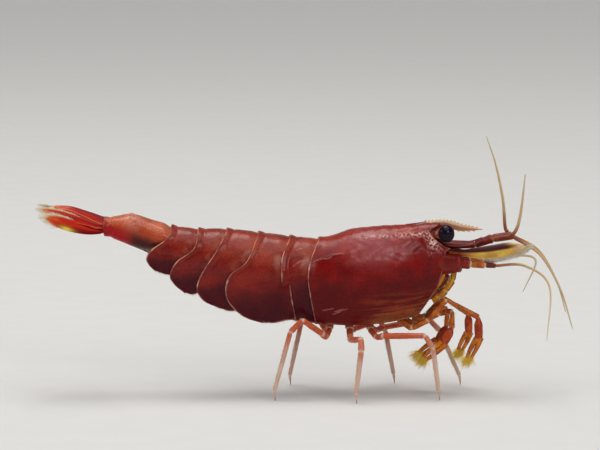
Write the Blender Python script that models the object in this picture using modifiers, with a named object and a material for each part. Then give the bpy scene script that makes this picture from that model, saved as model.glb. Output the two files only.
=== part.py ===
"""Red cherry shrimp, a female, standing still at life size.

+X is forward, +Y is the animal's left and +Z is up. The floor is z = 0, and the origin is on it, under the
middle of the whole animal. Every length below is in millimetres, and MM turns it into Blender's metres.
The body is a run of shell plates over the flesh that they cover. The limbs are round tubes whose thickness
changes at each joint, and the fins are flat blades.
"""
import math

import bmesh
import bpy
from mathutils import Vector

MM = 0.001
COLLECTION = "cherry_shrimp"
SIDES = (("right", -1), ("left", 1))

# Clearances and least thicknesses
GAP = 0.25                # between a plate or limb and its neighbour
WELD = 0.002              # points closer than this are one
SHELL = 0.45              # side walls that hang below the flesh
FEELER = 0.25             # radius of every feeler
FIN = 0.5                 # thickness of every fin

# The body's long lines: x, height of the back, height of the lower edge, half width
BODY_LINES = (
    (9.2, 10.55, 7.60, 0.80),
    (7.9, 10.98, 6.00, 1.12),
    (6.6, 10.90, 5.00, 1.62),
    (4.6, 10.78, 4.36, 2.08),
    (2.8, 10.60, 4.28, 2.20),
    (1.4, 10.15, 4.45, 2.12),
    (0.4, 10.00, 4.70, 2.02),
    (-1.6, 10.20, 4.72, 2.06),
    (-3.4, 10.43, 4.95, 2.00),
    (-5.2, 10.60, 5.60, 1.84),
    (-7.0, 10.62, 6.40, 1.60),
    (-8.5, 10.78, 7.20, 1.36),
    (-10.0, 11.20, 8.30, 1.10),
    (-11.2, 11.55, 9.50, 0.92),
    (-12.2, 11.42, 10.02, 0.80),
    (-13.4, 11.25, 10.25, 0.66),
)
TUCK = 0.27               # how far the flanks draw in at the lower edge, as a share of the half width
BACK_ROUND = 2.2          # 2 is a round back, and more is a squarer one
CEILING = 0.73            # how far down the side the flesh ends, and only the plate's wall goes on
WALL_SHARE = 0.22         # the most of the half width that the wall takes
ROW_CROWDING = 0.55       # how much closer together the rows of a plate lie near the back, from 0 to 1

# Rear margin of each plate, seen from the side, from the back line down: (x, z)
REAR_MARGINS = {
    "carapace": ((0.85, 10.0), (0.32, 8.9), (0.12, 7.9), (0.25, 6.6), (0.62, 4.72)),
    "abdomen_1": ((-1.0, 10.1), (-1.52, 8.9), (-1.55, 7.7), (-1.42, 6.4), (-1.15, 4.98)),
    "abdomen_2": ((-3.0, 10.4), (-3.75, 8.75), (-4.9, 7.75), (-5.0, 6.4), (-4.05, 5.3), (-2.8, 4.8)),
    "abdomen_3": ((-5.0, 10.6), (-5.65, 9.35), (-6.6, 7.95), (-6.9, 6.95), (-6.5, 6.2), (-5.7, 5.75)),
    "abdomen_4": ((-6.85, 10.6), (-7.1, 9.5), (-8.2, 8.65), (-8.6, 7.75), (-8.3, 7.15), (-7.7, 6.8)),
    "abdomen_5": ((-8.55, 10.8), (-8.75, 10.1), (-9.75, 9.4), (-10.1, 8.85), (-9.95, 8.4), (-9.6, 8.12)),
}
MARGIN_POINTS = 6         # points of a margin worked out from the one ahead of it
FRONT_MARGIN = ((7.6, 10.95), (7.8, 10.2), (8.65, 9.45), (8.55, 8.3), (8.1, 6.9), (6.9, 5.12))
TAIL_JOINT = -12.95       # where the sixth segment ends
# How much of the margin ahead a plate follows before its own lower edge begins
FOLLOWED = {"abdomen_1": 1.0, "abdomen_2": 1.0, "abdomen_3": 0.75, "abdomen_4": 0.72, "abdomen_5": 0.6,
            "abdomen_6": 0.62}
# How far each lower edge bulges down between the two margins
BULGES = {"carapace": 0.25, "abdomen_1": 0.05, "abdomen_2": 0.12, "abdomen_3": 0.12, "abdomen_4": 0.12,
          "abdomen_5": 0.05}
SEGMENT_6_FLOOR = (-10.4, 9.15)   # where its underside leaves the fifth plate

# Rostrum: a thin blade with saw teeth along its upper edge
ROSTRUM_TOP = ((7.9, 11.18), (8.7, 11.2), (9.8, 10.9), (11.05, 10.62))
ROSTRUM_KEEL = ((11.05, 10.5), (9.6, 10.42), (8.6, 10.62), (7.95, 10.72))
ROSTRUM_TEETH = 9
TOOTH_HEIGHT = 0.07
TOOTH_NOTCH = 0.15        # where the notch and the point lie in a tooth's share of the edge
TOOTH_POINT = 0.85
KEEL_POINTS = 7

# Eyes: a ball beside the root of the rostrum, on a short stalk
EYE_RADIUS = 0.5
EYE = (8.73, 1.2, 10.42)
EYE_STALK = ((8.18, 0.34, 10.24), (8.42, 0.56, 10.32))
EYE_STALK_RADII = (0.2, 0.25)

# Limbs of the head: the path from the root outward, and the radius at each point of it, on the left side
ANTENNULE = (((9.0, 0.5, 9.78), (10.0, 0.52, 9.72), (10.75, 0.55, 9.9), (11.7, 0.55, 10.16),
              (12.7, 0.58, 10.2)), (0.30, 0.30, 0.29, 0.27, 0.26))
ANTENNA_BASE = (((9.08, 0.95, 8.52), (9.5, 1.0, 8.48), (9.9, 1.05, 8.42), (10.3, 1.05, 8.4),
                 (11.45, 1.05, 8.38)), (0.38, 0.36, 0.30, 0.28, 0.26))
ANTENNA_SCALE = ((9.06, 0.95, 9.36), (9.9, 1.15, 9.22), (10.9, 1.32, 9.14), (11.9, 1.4, 9.2),
                 (12.9, 1.4, 9.35), (13.85, 1.3, 9.5))
ANTENNA_SCALE_WIDTHS = (0.5, 0.62, 0.9, 1.05, 0.95, 0.45)
ANTENNA_SCALE_ACROSS = (0, 0.62, 0.78)      # from the setose inner edge to the stiff outer one
MAXILLIPED = (((8.22, 0.48, 6.3), (8.75, 0.52, 6.7), (9.15, 0.55, 7.3), (9.32, 0.58, 7.95)),
              (0.28, 0.29, 0.30, 0.29, 0.27, 0.25))

# Feelers at +Y, from the root outward. The antennules' differ from side to side.
FEELERS = {
    "antennule_outer_right": ((13.05, 0.72, 10.42), (13.3, 0.78, 11.0), (13.5, 0.85, 12.2),
                              (13.7, 1.0, 14.2)),
    "antennule_outer_left": ((12.55, 0.78, 10.65), (12.4, 0.95, 12.4), (11.95, 1.3, 14.6),
                             (11.35, 1.8, 16.4)),
    "antennule_inner_right": ((13.15, 0.42, 10.02), (14.75, 0.5, 8.95), (16.0, 0.7, 6.8), (16.78, 1.1, 4.3)),
    "antennule_inner_left": ((13.15, 0.42, 10.02), (14.7, 0.75, 9.1), (15.9, 1.4, 7.1), (16.6, 2.2, 4.9)),
    "antenna_feeler_right": ((11.72, 1.08, 8.36), (13.6, 2.6, 8.55), (14.9, 6.0, 7.7), (14.4, 11.0, 5.0)),
    "antenna_feeler_left": ((11.72, 1.08, 8.36), (13.6, 2.6, 8.55), (14.9, 6.0, 7.7), (14.4, 11.0, 5.0)),
}
FEELER_POINTS = 11        # points along each feeler
DIVIDED = ("antennule_inner_right", "antennule_inner_left", "antenna_feeler_right", "antenna_feeler_left")

# The floor of the thorax between the side walls: x, z and half width along it
THORAX = ((1.0, 5.42, 0.62), (2.2, 5.32, 0.86), (5.2, 5.32, 0.9), (6.6, 5.72, 0.62))
THORAX_DEPTH = 0.56

# Claw-bearing legs: the path at +Y from the thorax to the claw tip
CHELIPEDS = {
    "cheliped_1_right": ((6.65, 0.38, 4.92), (7.35, 0.42, 4.72), (8.3, 0.58, 5.2), (8.95, 0.75, 5.5),
                         (9.25, 0.8, 4.9), (9.0, 0.85, 4.0), (8.3, 0.85, 3.1), (7.25, 0.85, 2.25)),
    "cheliped_1_left": ((6.65, 0.38, 4.92), (7.35, 0.42, 4.72), (8.2, 0.58, 5.25), (8.75, 0.8, 5.45),
                        (9.0, 1.0, 4.75), (8.75, 1.1, 3.8), (8.05, 1.15, 2.95), (7.1, 1.1, 2.3)),
    "cheliped_2_right": ((5.8, 0.58, 4.75), (6.6, 1.06, 4.25), (7.6, 1.18, 4.85), (8.5, 1.25, 6.05),
                         (9.0, 1.3, 6.15), (10.85, 1.5, 5.05), (10.75, 1.5, 3.7), (10.15, 1.5, 2.4)),
    "cheliped_2_left": ((5.8, 0.58, 4.75), (6.6, 1.06, 4.25), (7.6, 1.18, 4.85), (8.45, 1.35, 5.9),
                        (8.9, 1.5, 5.95), (10.4, 2.1, 4.75), (10.3, 2.2, 3.5), (9.75, 2.2, 2.3)),
}
CLAW_RADII = (0.28, 0.27, 0.27, 0.28, 0.29, 0.33, 0.36, 0.25)

# Walking legs at +Y: x of the root, the hip, the knee, the wrist, and x and y of the foot
LEGS = {
    "leg_3_right": (3.9, (4.75, 2.1, 3.95), (7.35, 2.6, 4.05), (7.85, 2.7, 3.3), (8.22, 2.9)),
    "leg_3_left": (3.9, (4.8, 2.1, 3.9), (7.8, 2.9, 4.3), (8.5, 3.0, 3.6), (9.82, 3.2)),
    "leg_4_right": (2.6, (2.7, 2.1, 3.7), (3.3, 3.55, 3.95), (3.3, 3.9, 3.3), (2.97, 4.05)),
    "leg_4_left": (2.6, (2.95, 2.1, 3.8), (4.6, 3.2, 4.25), (5.0, 3.5, 3.5), (5.56, 3.7)),
    "leg_5_right": (1.35, (0.85, 2.05, 4.1), (-0.4, 2.6, 5.05), (-1.15, 2.75, 4.35), (-2.15, 3.0)),
    "leg_5_left": (1.35, (0.9, 2.05, 4.1), (0.1, 2.7, 4.95), (-0.45, 2.9, 4.2), (-1.2, 3.2)),
}
LEG_ROOT = (0.62, 4.8)    # y and z where a leg leaves the thorax
LEG_DROP = (0.85, 4.2)    # and of its first joint, straight below
UNDER_EDGE = (1.5, 3.72)  # and where it passes under the edge of the carapace
ANKLE = 0.5
SHIN_BOW = 0.06           # how far the shin bows outward between wrist and ankle
LEG_RADII = (0.30, 0.30, 0.28, 0.29, 0.27, 0.27, 0.26, 0.26, 0.27)
BEND = 0.16               # how far each side of a joint its corner is cut off
BEND_SHARE = 0.3          # and the most of a short length that the cut takes

# Swimmerets under the first five segments, at +Y: the root, and the length down and back
SWIMMERETS = (((-0.4, 0.55, 6.3), 1.5), ((-2.3, 0.55, 5.95), 1.3), ((-5.75, 0.5, 6.25), 1.0),
              ((-7.5, 0.42, 6.85), 0.9), ((-9.15, 0.33, 8.1), 0.75))
SWIMMERET_WIDTHS = (0.45, 0.9, 0.8, 0.35)
SWIMMERET_LEAN = 0.45

# Tail fan: the path of each blade at +Y, its width at each point, and the way its width lies
TELSON = (((-13.25, 0, 10.95), (-14.3, 0, 11.45), (-15.2, 0, 11.8), (-16.2, 0, 11.92)), (0.7, 0.7, 0.6, 0.35))
UROPOD_INNER = (((-13.3, 0.68, 10.8), (-14.1, 0.85, 11.1), (-15.0, 1.05, 11.4), (-16.0, 1.15, 11.7),
                 (-16.85, 1.2, 11.95)), (0.38, 0.75, 1.0, 0.9, 0.35))
UROPOD_OUTER = (((-13.35, 0.88, 10.2), (-14.1, 1.45, 10.35), (-15.0, 2.1, 10.65), (-15.8, 2.5, 10.95),
                 (-16.5, 2.65, 11.3)), (0.38, 0.9, 1.15, 1.05, 0.4))
INNER_ACROSS = (0, 0.94, -0.34)
OUTER_ACROSS = (0, 0.72, -0.69)

# Colours in linear light: red, green, blue, roughness
DEEP_RED = (0.24, 0.012, 0.010, 0.32)
TAIL_RED = (0.42, 0.015, 0.008, 0.35)
LEG_ORANGE = (0.45, 0.12, 0.05, 0.40)
FEELER_TAN = (0.42, 0.30, 0.17, 0.45)
SCALE_YELLOW = (0.50, 0.33, 0.08, 0.40)
EYE_BLACK = (0.008, 0.006, 0.008, 0.12)


# ---------------------------------------------------------------- shared geometry

def smooth_point(points, t):
    """The point at t, from 0 to 1, on a Catmull-Rom curve through the points."""
    points = [Vector(p) for p in points]
    spans = len(points) - 1
    i = min(int(t * spans), spans - 1)
    u = t * spans - i
    before = points[i - 1] if i else 2 * points[0] - points[1]
    after = points[i + 2] if i + 2 <= spans else 2 * points[-1] - points[-2]
    a, b = points[i], points[i + 1]
    return 0.5 * (2 * a + (b - before) * u + (2 * before - 5 * a + 4 * b - after) * u ** 2
                  + (3 * a - before - 3 * b + after) * u ** 3)


def body_at(x):
    """Back height, lower-edge height and half width of the body at x."""
    rows = BODY_LINES
    if x >= rows[0][0]:
        return rows[0][1:]
    for i in range(len(rows) - 1):
        if x >= rows[i + 1][0]:
            share = (x - rows[i][0]) / (rows[i + 1][0] - rows[i][0])
            return tuple(smooth_point([row[1:] for row in rows], (i + share) / (len(rows) - 1)))
    return rows[-1][1:]


def flank(x, z):
    """Half width of the body at height z: a rounded back above the middle, and a side that draws in below."""
    back, low, half = body_at(x)
    v = 2 * (back - z) / (back - low)
    if v <= 0:
        return 0.0
    if v < 1:
        return half * (1 - (1 - v) ** BACK_ROUND) ** (1 / BACK_ROUND)
    return half * (1 - TUCK * (v - 1) ** 2)


def wall(x):
    """Thickness of the side wall below the flesh, thinner where the body narrows."""
    return min(SHELL, WALL_SHARE * body_at(x)[2])


def new_object(name, data, colour):
    """An object in the shrimp's collection, with its own material."""
    ob = bpy.data.objects.new(name, data)
    bpy.data.collections[COLLECTION].objects.link(ob)
    mat = bpy.data.materials.new(name)
    mat.use_nodes = True
    shader = mat.node_tree.nodes["Principled BSDF"]
    shader.inputs["Base Color"].default_value = (*colour[:3], 1)
    shader.inputs["Roughness"].default_value = colour[3]
    shader.inputs["Metallic"].default_value = 0
    data.materials.append(mat)
    return ob


def mesh_object(name, bm, colour):
    """A smooth-shaded object from a bmesh in millimetres."""
    bmesh.ops.remove_doubles(bm, verts=bm.verts, dist=WELD)
    bmesh.ops.recalc_face_normals(bm, faces=bm.faces)
    bmesh.ops.scale(bm, vec=(MM, MM, MM), verts=bm.verts)
    mesh = bpy.data.meshes.new(name)
    bm.to_mesh(mesh)
    bm.free()
    mesh.shade_smooth()
    mesh.set_sharp_from_angle(angle=math.radians(40))
    return new_object(name, mesh, colour)


def tube(name, path, radii, colour, roundness=2):
    """A round limb: a poly curve along the path, as thick at each point as its radius says, with flat ends.

    It has four sides and two more for each step of roundness.
    """
    curve = bpy.data.curves.new(name, "CURVE")
    curve.dimensions = "3D"
    curve.bevel_depth = MM
    curve.bevel_resolution = roundness
    curve.use_fill_caps = True
    curve.twist_mode = "MINIMUM"
    spline = curve.splines.new("POLY")
    spline.points.add(len(path) - 1)
    for point, place, radius in zip(spline.points, path, radii):
        point.co = (*(Vector(place) * MM), 1)
        point.radius = radius
    spline.use_smooth = True
    return new_object(name, curve, colour)


def curved(points, count):
    """count points evenly spaced by parameter on the smooth curve through the given ones."""
    return [smooth_point(points, i / (count - 1)) for i in range(count)]


def blade(name, path, widths, across, thickness, colour, corners=8):
    """A flat fin: oval sections along the path, as wide at each point as widths says, lying along across."""
    bm = bmesh.new()
    rings = []
    path = [Vector(p) for p in path]
    for i, (place, width) in enumerate(zip(path, widths)):
        ahead = (path[min(i + 1, len(path) - 1)] - path[max(i - 1, 0)]).normalized()
        side = Vector(across)
        side = (side - ahead * side.dot(ahead)).normalized()
        up = ahead.cross(side)
        ring = []
        for k in range(corners):
            angle = 2 * math.pi * (k + 0.5) / corners
            offset = side * math.cos(angle) * width / 2 + up * math.sin(angle) * thickness / 2
            ring.append(bm.verts.new(place + offset))
        rings.append(ring)
    for one, two in zip(rings, rings[1:]):
        for k in range(corners):
            n = (k + 1) % corners
            bm.faces.new((one[k], one[n], two[n], two[k]))
    bm.faces.new(rings[0][::-1])
    bm.faces.new(rings[-1])
    return mesh_object(name, bm, colour)


# ---------------------------------------------------------------- shell plates

def plate(name, front, rear, lower, colour, rows=9, columns=5, closed=False):
    """One shell plate with the flesh under it.

    front and rear are its side-view margins, from the back line to the lower edge, and lower is how far the
    lower edge bulges down between them. Its side is a grid between the four edges, set out from the middle
    plane by flank(). Below the ceiling the solid is only a wall on each side, unless the plate is closed
    round. The half at +Y is built, open at the middle plane, and mirrored.
    """
    grid = [[_side_point(front, rear, lower, i / rows, t / columns) for t in range(columns + 1)]
            for i in range(rows + 1)]
    bm = bmesh.new()
    outer = []
    for i, row in enumerate(grid):
        line = []
        for t, (x, z) in enumerate(row):
            if i == 0:
                y = 0
            elif closed:
                down = (grid[0][t][1] - z) / (grid[0][t][1] - grid[rows][t][1])
                y = body_at(x)[2] * 2 * math.sqrt(max(0, down * (1 - down)))
            else:
                y = flank(x, z)
            line.append(bm.verts.new((x, y, z)))
        outer.append(line)
    ceiling = rows if closed else min(range(rows), key=lambda i: abs(_row_share(i / rows) - CEILING))
    middle = []
    inner = {}
    if not closed:
        middle = [bm.verts.new((x, 0, z)) for x, z in grid[ceiling]]
        for i in range(ceiling, rows + 1):
            inner[i] = [bm.verts.new((x, flank(x, z) - wall(x), z)) for x, z in grid[i]]
    for i in range(rows):
        for t in range(columns):
            _face(bm, outer[i][t], outer[i + 1][t], outer[i + 1][t + 1], outer[i][t + 1])
    if not closed:
        for i in range(ceiling, rows):
            for t in range(columns):
                _face(bm, inner[i][t], inner[i][t + 1], inner[i + 1][t + 1], inner[i + 1][t])
        for t in range(columns):
            _face(bm, inner[rows][t], inner[rows][t + 1], outer[rows][t + 1], outer[rows][t])
            _face(bm, middle[t], middle[t + 1], inner[ceiling][t + 1], inner[ceiling][t])
    for t in (0, columns):
        centre = [outer[0][t]]
        for i in range(1, ceiling + 1):
            x, z = grid[i][t]
            if i == ceiling:
                centre.append(outer[i][t] if closed else middle[t])
            else:
                centre.append(bm.verts.new((x, 0, z)))
        for i in range(ceiling):
            if i + 1 == ceiling and not closed:
                _face(bm, centre[i], outer[i][t], outer[i + 1][t], inner[i + 1][t], centre[i + 1])
            else:
                _face(bm, centre[i], outer[i][t], outer[i + 1][t], centre[i + 1])
        if not closed:
            for i in range(ceiling, rows):
                _face(bm, outer[i][t], outer[i + 1][t], inner[i + 1][t], inner[i][t])
    ob = mesh_object(name, bm, colour)
    mirror = ob.modifiers.new("Mirror", "MIRROR")
    mirror.use_axis = (False, True, False)
    mirror.use_clip = True
    mirror.merge_threshold = 5 * WELD * MM
    return ob


def _row_share(a):
    """How far down the side a row of the grid lies: closer together at the back, where plates curve most."""
    return (1 - math.cos(a * math.pi / 2)) * ROW_CROWDING + a * (1 - ROW_CROWDING)


def _side_point(front, rear, lower, a, t):
    """A point of a plate from the side, a of the way down from the back line and t of the way to the rear."""
    share = _row_share(a)
    ahead = smooth_point(front, share)
    behind = smooth_point(rear, share)
    x = ahead.x + (behind.x - ahead.x) * t
    z = ahead.y + (behind.y - ahead.y) * t
    straight = front[0][1] + (rear[0][1] - front[0][1]) * t
    top_x = front[0][0] + (rear[0][0] - front[0][0]) * t
    crown = body_at(top_x)[0] - straight
    sag = lower * math.sin(math.pi * t)
    return x, z + crown * (1 - share) ** 2 - sag * share ** 2


def _face(bm, *verts):
    """A face from the verts, less any that are named twice."""
    kept = list(dict.fromkeys(verts))
    if len(kept) > 2:
        bm.faces.new(kept)


def on_back(margin):
    """A margin with its first point set on the back line."""
    x = margin[0][0]
    return ((x, body_at(x)[0]),) + tuple(margin[1:])


def margin_behind(margin, followed):
    """The front margin of the next plate: it follows this one, a gap behind it, as far as followed says."""
    last = MARGIN_POINTS - 1
    points = [smooth_point(margin, followed * i / last) for i in range(MARGIN_POINTS)]
    return on_back(tuple((p.x - GAP, p.y) for p in points))


def shell_plates():
    """The carapace and the first five plates of the abdomen."""
    margins = {name: on_back(margin) for name, margin in REAR_MARGINS.items()}
    plate("carapace", on_back(FRONT_MARGIN), margins["carapace"], BULGES["carapace"], DEEP_RED,
          rows=11, columns=10)
    names = list(margins)
    for ahead, name in zip(names, names[1:]):
        front = margin_behind(margins[ahead], FOLLOWED[name])
        plate(name, front, margins[name], BULGES[name], DEEP_RED)


def sixth_segment():
    """The long last segment, closed all round, that carries the tail fan."""
    front = list(margin_behind(on_back(REAR_MARGINS["abdomen_5"]), FOLLOWED["abdomen_6"]))
    front[-1] = SEGMENT_6_FLOOR
    back, low, _ = body_at(TAIL_JOINT)
    rear = ((TAIL_JOINT, back), (TAIL_JOINT - 0.1, (back + low) / 2), (TAIL_JOINT, low))
    plate("abdomen_6", tuple(front), rear, 0.0, TAIL_RED, rows=8, columns=5, closed=True)


# ---------------------------------------------------------------- head

def mirrored(path, side):
    """A path at +Y, or its mirror image where side is -1."""
    return [(x, y * side, z) for x, y, z in path]


def rostrum():
    """The blade between the eyes: a flat outline whose upper edge is cut into teeth that point forward."""
    top = []
    for i in range(ROSTRUM_TEETH):
        notch = smooth_point(ROSTRUM_TOP, (i + TOOTH_NOTCH) / ROSTRUM_TEETH)
        point = smooth_point(ROSTRUM_TOP, (i + TOOTH_POINT) / ROSTRUM_TEETH)
        top.append((notch.x, notch.y - TOOTH_HEIGHT))
        top.append((point.x, point.y))
    keel = curved(ROSTRUM_KEEL, KEEL_POINTS)
    outline = top + [(p.x, p.y) for p in keel]
    bm = bmesh.new()
    face = bm.faces.new([bm.verts.new((x, -FIN / 2, z)) for x, z in outline])
    extruded = bmesh.ops.extrude_face_region(bm, geom=[face])
    far = [v for v in extruded["geom"] if isinstance(v, bmesh.types.BMVert)]
    bmesh.ops.translate(bm, vec=(0, FIN, 0), verts=far)
    bmesh.ops.triangulate(bm, faces=[f for f in bm.faces if len(f.verts) > 4])
    return mesh_object("rostrum", bm, SCALE_YELLOW)


def eyes():
    """A round eye on each side, and the stalk that carries it."""
    for side_name, side in SIDES:
        bm = bmesh.new()
        bmesh.ops.create_uvsphere(bm, u_segments=14, v_segments=9, radius=EYE_RADIUS)
        bmesh.ops.translate(bm, vec=(EYE[0], EYE[1] * side, EYE[2]), verts=bm.verts)
        mesh_object(f"eye_{side_name}", bm, EYE_BLACK)
        tube(f"eyestalk_{side_name}", mirrored(EYE_STALK, side), EYE_STALK_RADII, DEEP_RED)


def head_limbs():
    """Antennules, antennae with their scales, and the outermost mouth limbs."""
    for side_name, side in SIDES:
        path, radii = ANTENNULE
        tube(f"antennule_{side_name}", mirrored(path, side), radii, DEEP_RED)
        path, radii = ANTENNA_BASE
        tube(f"antenna_base_{side_name}", mirrored(path, side), radii, LEG_ORANGE)
        path, radii = MAXILLIPED
        tube(f"maxilliped_{side_name}", curved(mirrored(path, side), len(radii)), radii, SCALE_YELLOW)
        blade(f"antenna_scale_{side_name}", mirrored(ANTENNA_SCALE, side), ANTENNA_SCALE_WIDTHS,
              mirrored([ANTENNA_SCALE_ACROSS], side)[0], FIN, SCALE_YELLOW)


def feelers():
    """The thin feelers. A long one is divided in two, with a gap between its lengths."""
    for name, path in FEELERS.items():
        points = curved(mirrored(path, side_of(name)), FEELER_POINTS)
        if name not in DIVIDED:
            tube(name, points, [FEELER] * len(points), FEELER_TAN, roundness=1)
            continue
        half = len(points) // 2
        joint = points[half]
        onward = (points[half + 1] - joint).normalized()
        stem, side_name = name.rsplit("_", 1)
        tube(f"{stem}_1_{side_name}", points[:half + 1], [FEELER] * (half + 1), FEELER_TAN, roundness=1)
        tip = [joint + onward * GAP] + points[half + 1:]
        tube(f"{stem}_2_{side_name}", tip, [FEELER] * len(tip), FEELER_TAN, roundness=1)


# ---------------------------------------------------------------- thorax, legs and tail

def thorax():
    """The floor of the chest, between the side walls, that the legs grow from."""
    path = [(x, 0, z) for x, z, _ in THORAX]
    blade("thorax", path, [2 * half for _, _, half in THORAX], (0, 1, 0), THORAX_DEPTH, LEG_ORANGE)


def leg_path(root_x, hip, knee, wrist, foot):
    """A walking leg: down from the thorax, out under the carapace, up to the knee and down to the floor."""
    ankle = Vector((*foot, ANKLE))
    shin = (Vector(wrist) + ankle) / 2 + Vector((-SHIN_BOW, SHIN_BOW, 0))
    under_x = (root_x + hip[0]) / 2
    return [(root_x, *LEG_ROOT), (root_x, *LEG_DROP), (under_x, *UNDER_EDGE), hip, knee, wrist,
            tuple(shin), tuple(ankle), (*foot, 0)]


def limbs():
    """Two pairs of small claws and three pairs of walking legs, that stand on flat foot ends."""
    for name, path in CHELIPEDS.items():
        tube(name, *bent(mirrored(path, side_of(name)), CLAW_RADII), LEG_ORANGE)
    for name, joints in LEGS.items():
        tube(name, *bent(mirrored(leg_path(*joints), side_of(name)), LEG_RADII), LEG_ORANGE)


def side_of(name):
    """-1 for a part on the right, and 1 for one on the left."""
    return -1 if name.endswith("right") else 1


def bent(path, radii):
    """A limb's path with each inner bend cut off by a short length, so that the tube keeps its thickness."""
    points = [Vector(path[0])]
    thick = [radii[0]]
    for i in range(1, len(path) - 1):
        here = Vector(path[i])
        for other in (Vector(path[i - 1]), Vector(path[i + 1])):
            reach = min(BEND, (other - here).length * BEND_SHARE)
            points.append(here + (other - here).normalized() * reach)
            thick.append(radii[i])
    points.append(Vector(path[-1]))
    thick.append(radii[-1])
    return points, thick


def swimmerets():
    """Five pairs of small paddles in the groove under the abdomen, folded back."""
    last = len(SWIMMERET_WIDTHS) - 1
    for number, ((x, y, z), length) in enumerate(SWIMMERETS, start=1):
        for side_name, side in SIDES:
            path = [(x - SWIMMERET_LEAN * length * i / last, side * y, z - length * i / last)
                    for i in range(last + 1)]
            blade(f"swimmeret_{number}_{side_name}", path, SWIMMERET_WIDTHS, (1, 0, 0), FIN, DEEP_RED,
                  corners=6)


def tail_fan():
    """The telson in the middle, and two blades on each side of it that overlap like a fan's."""
    path, widths = TELSON
    blade("telson", path, widths, (0, 1, 0), FIN, TAIL_RED)
    for side_name, side in SIDES:
        for name, (path, widths), across in (("uropod_inner", UROPOD_INNER, INNER_ACROSS),
                                             ("uropod_outer", UROPOD_OUTER, OUTER_ACROSS)):
            blade(f"{name}_{side_name}", mirrored(path, side), widths, mirrored([across], side)[0],
                  FIN, TAIL_RED)


# ---------------------------------------------------------------- build

def clear_scene():
    """Remove whatever the file holds, and make the shrimp's collection."""
    for ob in list(bpy.data.objects):
        bpy.data.objects.remove(ob, do_unlink=True)
    collection = bpy.data.collections.new(COLLECTION)
    bpy.context.scene.collection.children.link(collection)


clear_scene()
shell_plates()
sixth_segment()
rostrum()
eyes()
head_limbs()
feelers()
thorax()
limbs()
swimmerets()
tail_fan()
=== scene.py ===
"""A red cherry shrimp at life size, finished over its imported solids.

Sizes in each section are in millimetres on the animal: x runs forward to the head, y to its left and z up
from the floor. MM turns them into the frame's metres. The sections follow the shrimp as it is put together:
the shell from the carapace back to the tail fan, then the head, the limbs, and the studio round it.
"""
import math

import bpy
import numpy as np
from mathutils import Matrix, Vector


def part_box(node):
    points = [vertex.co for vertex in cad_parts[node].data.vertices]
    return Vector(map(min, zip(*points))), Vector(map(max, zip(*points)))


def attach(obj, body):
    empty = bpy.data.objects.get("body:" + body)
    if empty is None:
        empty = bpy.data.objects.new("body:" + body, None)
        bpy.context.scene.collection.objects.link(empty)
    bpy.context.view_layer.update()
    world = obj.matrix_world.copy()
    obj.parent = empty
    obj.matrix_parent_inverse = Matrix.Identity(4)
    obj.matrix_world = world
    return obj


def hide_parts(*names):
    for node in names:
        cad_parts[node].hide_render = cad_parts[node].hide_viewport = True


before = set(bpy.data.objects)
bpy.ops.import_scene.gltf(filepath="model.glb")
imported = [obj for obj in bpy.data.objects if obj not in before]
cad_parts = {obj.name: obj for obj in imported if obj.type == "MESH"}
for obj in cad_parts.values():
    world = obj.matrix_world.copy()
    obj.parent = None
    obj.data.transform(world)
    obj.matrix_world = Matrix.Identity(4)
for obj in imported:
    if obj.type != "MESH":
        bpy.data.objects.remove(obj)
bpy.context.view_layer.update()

# ------------------------------------------------------------------------------------------------ carapace
# The carapace is one stiff shell over the head and chest, of chitin stiffened with lime, saddle-shaped over
# the back and open below. It is fixed to the body along the back only, and its free rear edge laps the
# abdomen. The skin beneath it holds the red colour, and a paler saddle shows where the ovaries lie.

TRUNK_LENGTH = 21.72      # from the front of the carapace to the root of the tail fan
MM = (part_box("carapace")[1].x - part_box("abdomen_6")[0].x) / TRUNK_LENGTH

# The body's long lines: x, height of the back, height of the lower edge, half width
BODY_LINES = np.array((
    (9.2, 10.55, 7.60, 0.80),
    (7.9, 10.98, 6.00, 1.12),
    (6.6, 10.90, 5.00, 1.62),
    (4.6, 10.78, 4.36, 2.08),
    (2.8, 10.60, 4.28, 2.20),
    (1.4, 10.15, 4.45, 2.12),
    (0.4, 10.00, 4.70, 2.02),
    (-1.6, 10.20, 4.72, 2.06),
    (-3.4, 10.43, 4.95, 2.00),
    (-5.2, 10.60, 5.60, 1.84),
    (-7.0, 10.62, 6.40, 1.60),
    (-8.5, 10.78, 7.20, 1.36),
    (-10.0, 11.20, 8.30, 1.10),
    (-11.2, 11.55, 9.50, 0.92),
    (-12.2, 11.42, 10.02, 0.80),
    (-13.4, 11.25, 10.25, 0.66)))
TUCK = 0.27               # how far the flanks draw in at the lower edge
BACK_ROUND = 2.2          # 2 is a round back, and more is a squarer one
ROW_CROWDING = 0.55       # how much closer together rows lie near the back
GAP = 0.25                # between one plate's rear margin and the next plate, as the solids are cut

CARAPACE_FRONT = ((7.6, 10.95), (7.8, 10.2), (8.65, 9.45), (8.55, 8.3), (8.1, 6.9), (6.9, 5.12))
CARAPACE_REAR = ((0.85, 10.0), (0.32, 8.9), (0.12, 7.9), (0.25, 6.6), (0.62, 4.72))
CARAPACE_BULGE = 0.25     # how far its lower edge sags between front and rear
CARAPACE_SIDE = 5.2       # from the back down to the hem
CARAPACE_GRID = (156, 96) # rows from front to rear, and columns from the back down to each hem
SHELL_WALL = 0.07         # thickness of every plate
HINGE_AT = 0.42           # how far down the side each plate is hinged to the next one
# The broader margin at the hinge is a painted glint of light.
HINGE_GLINT = 0.45        # how much broader the clear margin is there
LAP = 0.17                # how far a rear margin reaches back over the gap behind it
LIP_LIFT = 0.07           # how far the margin stands off the plate behind
LIP_REACH = 0.34
SPINE_HEIGHT = 9.4        # the antennal spine below the eye: its height, its reach and how broad it is
SPINE_REACH = 0.34
SPINE_BREADTH = 0.10
CREST_REACH = 0.75        # how far the crest runs out under the rostrum
NECK_AT = (5.75, 9.0)     # x and height of the groove behind the head, which leans forward as it rises
NECK_LEAN = 0.45
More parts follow.
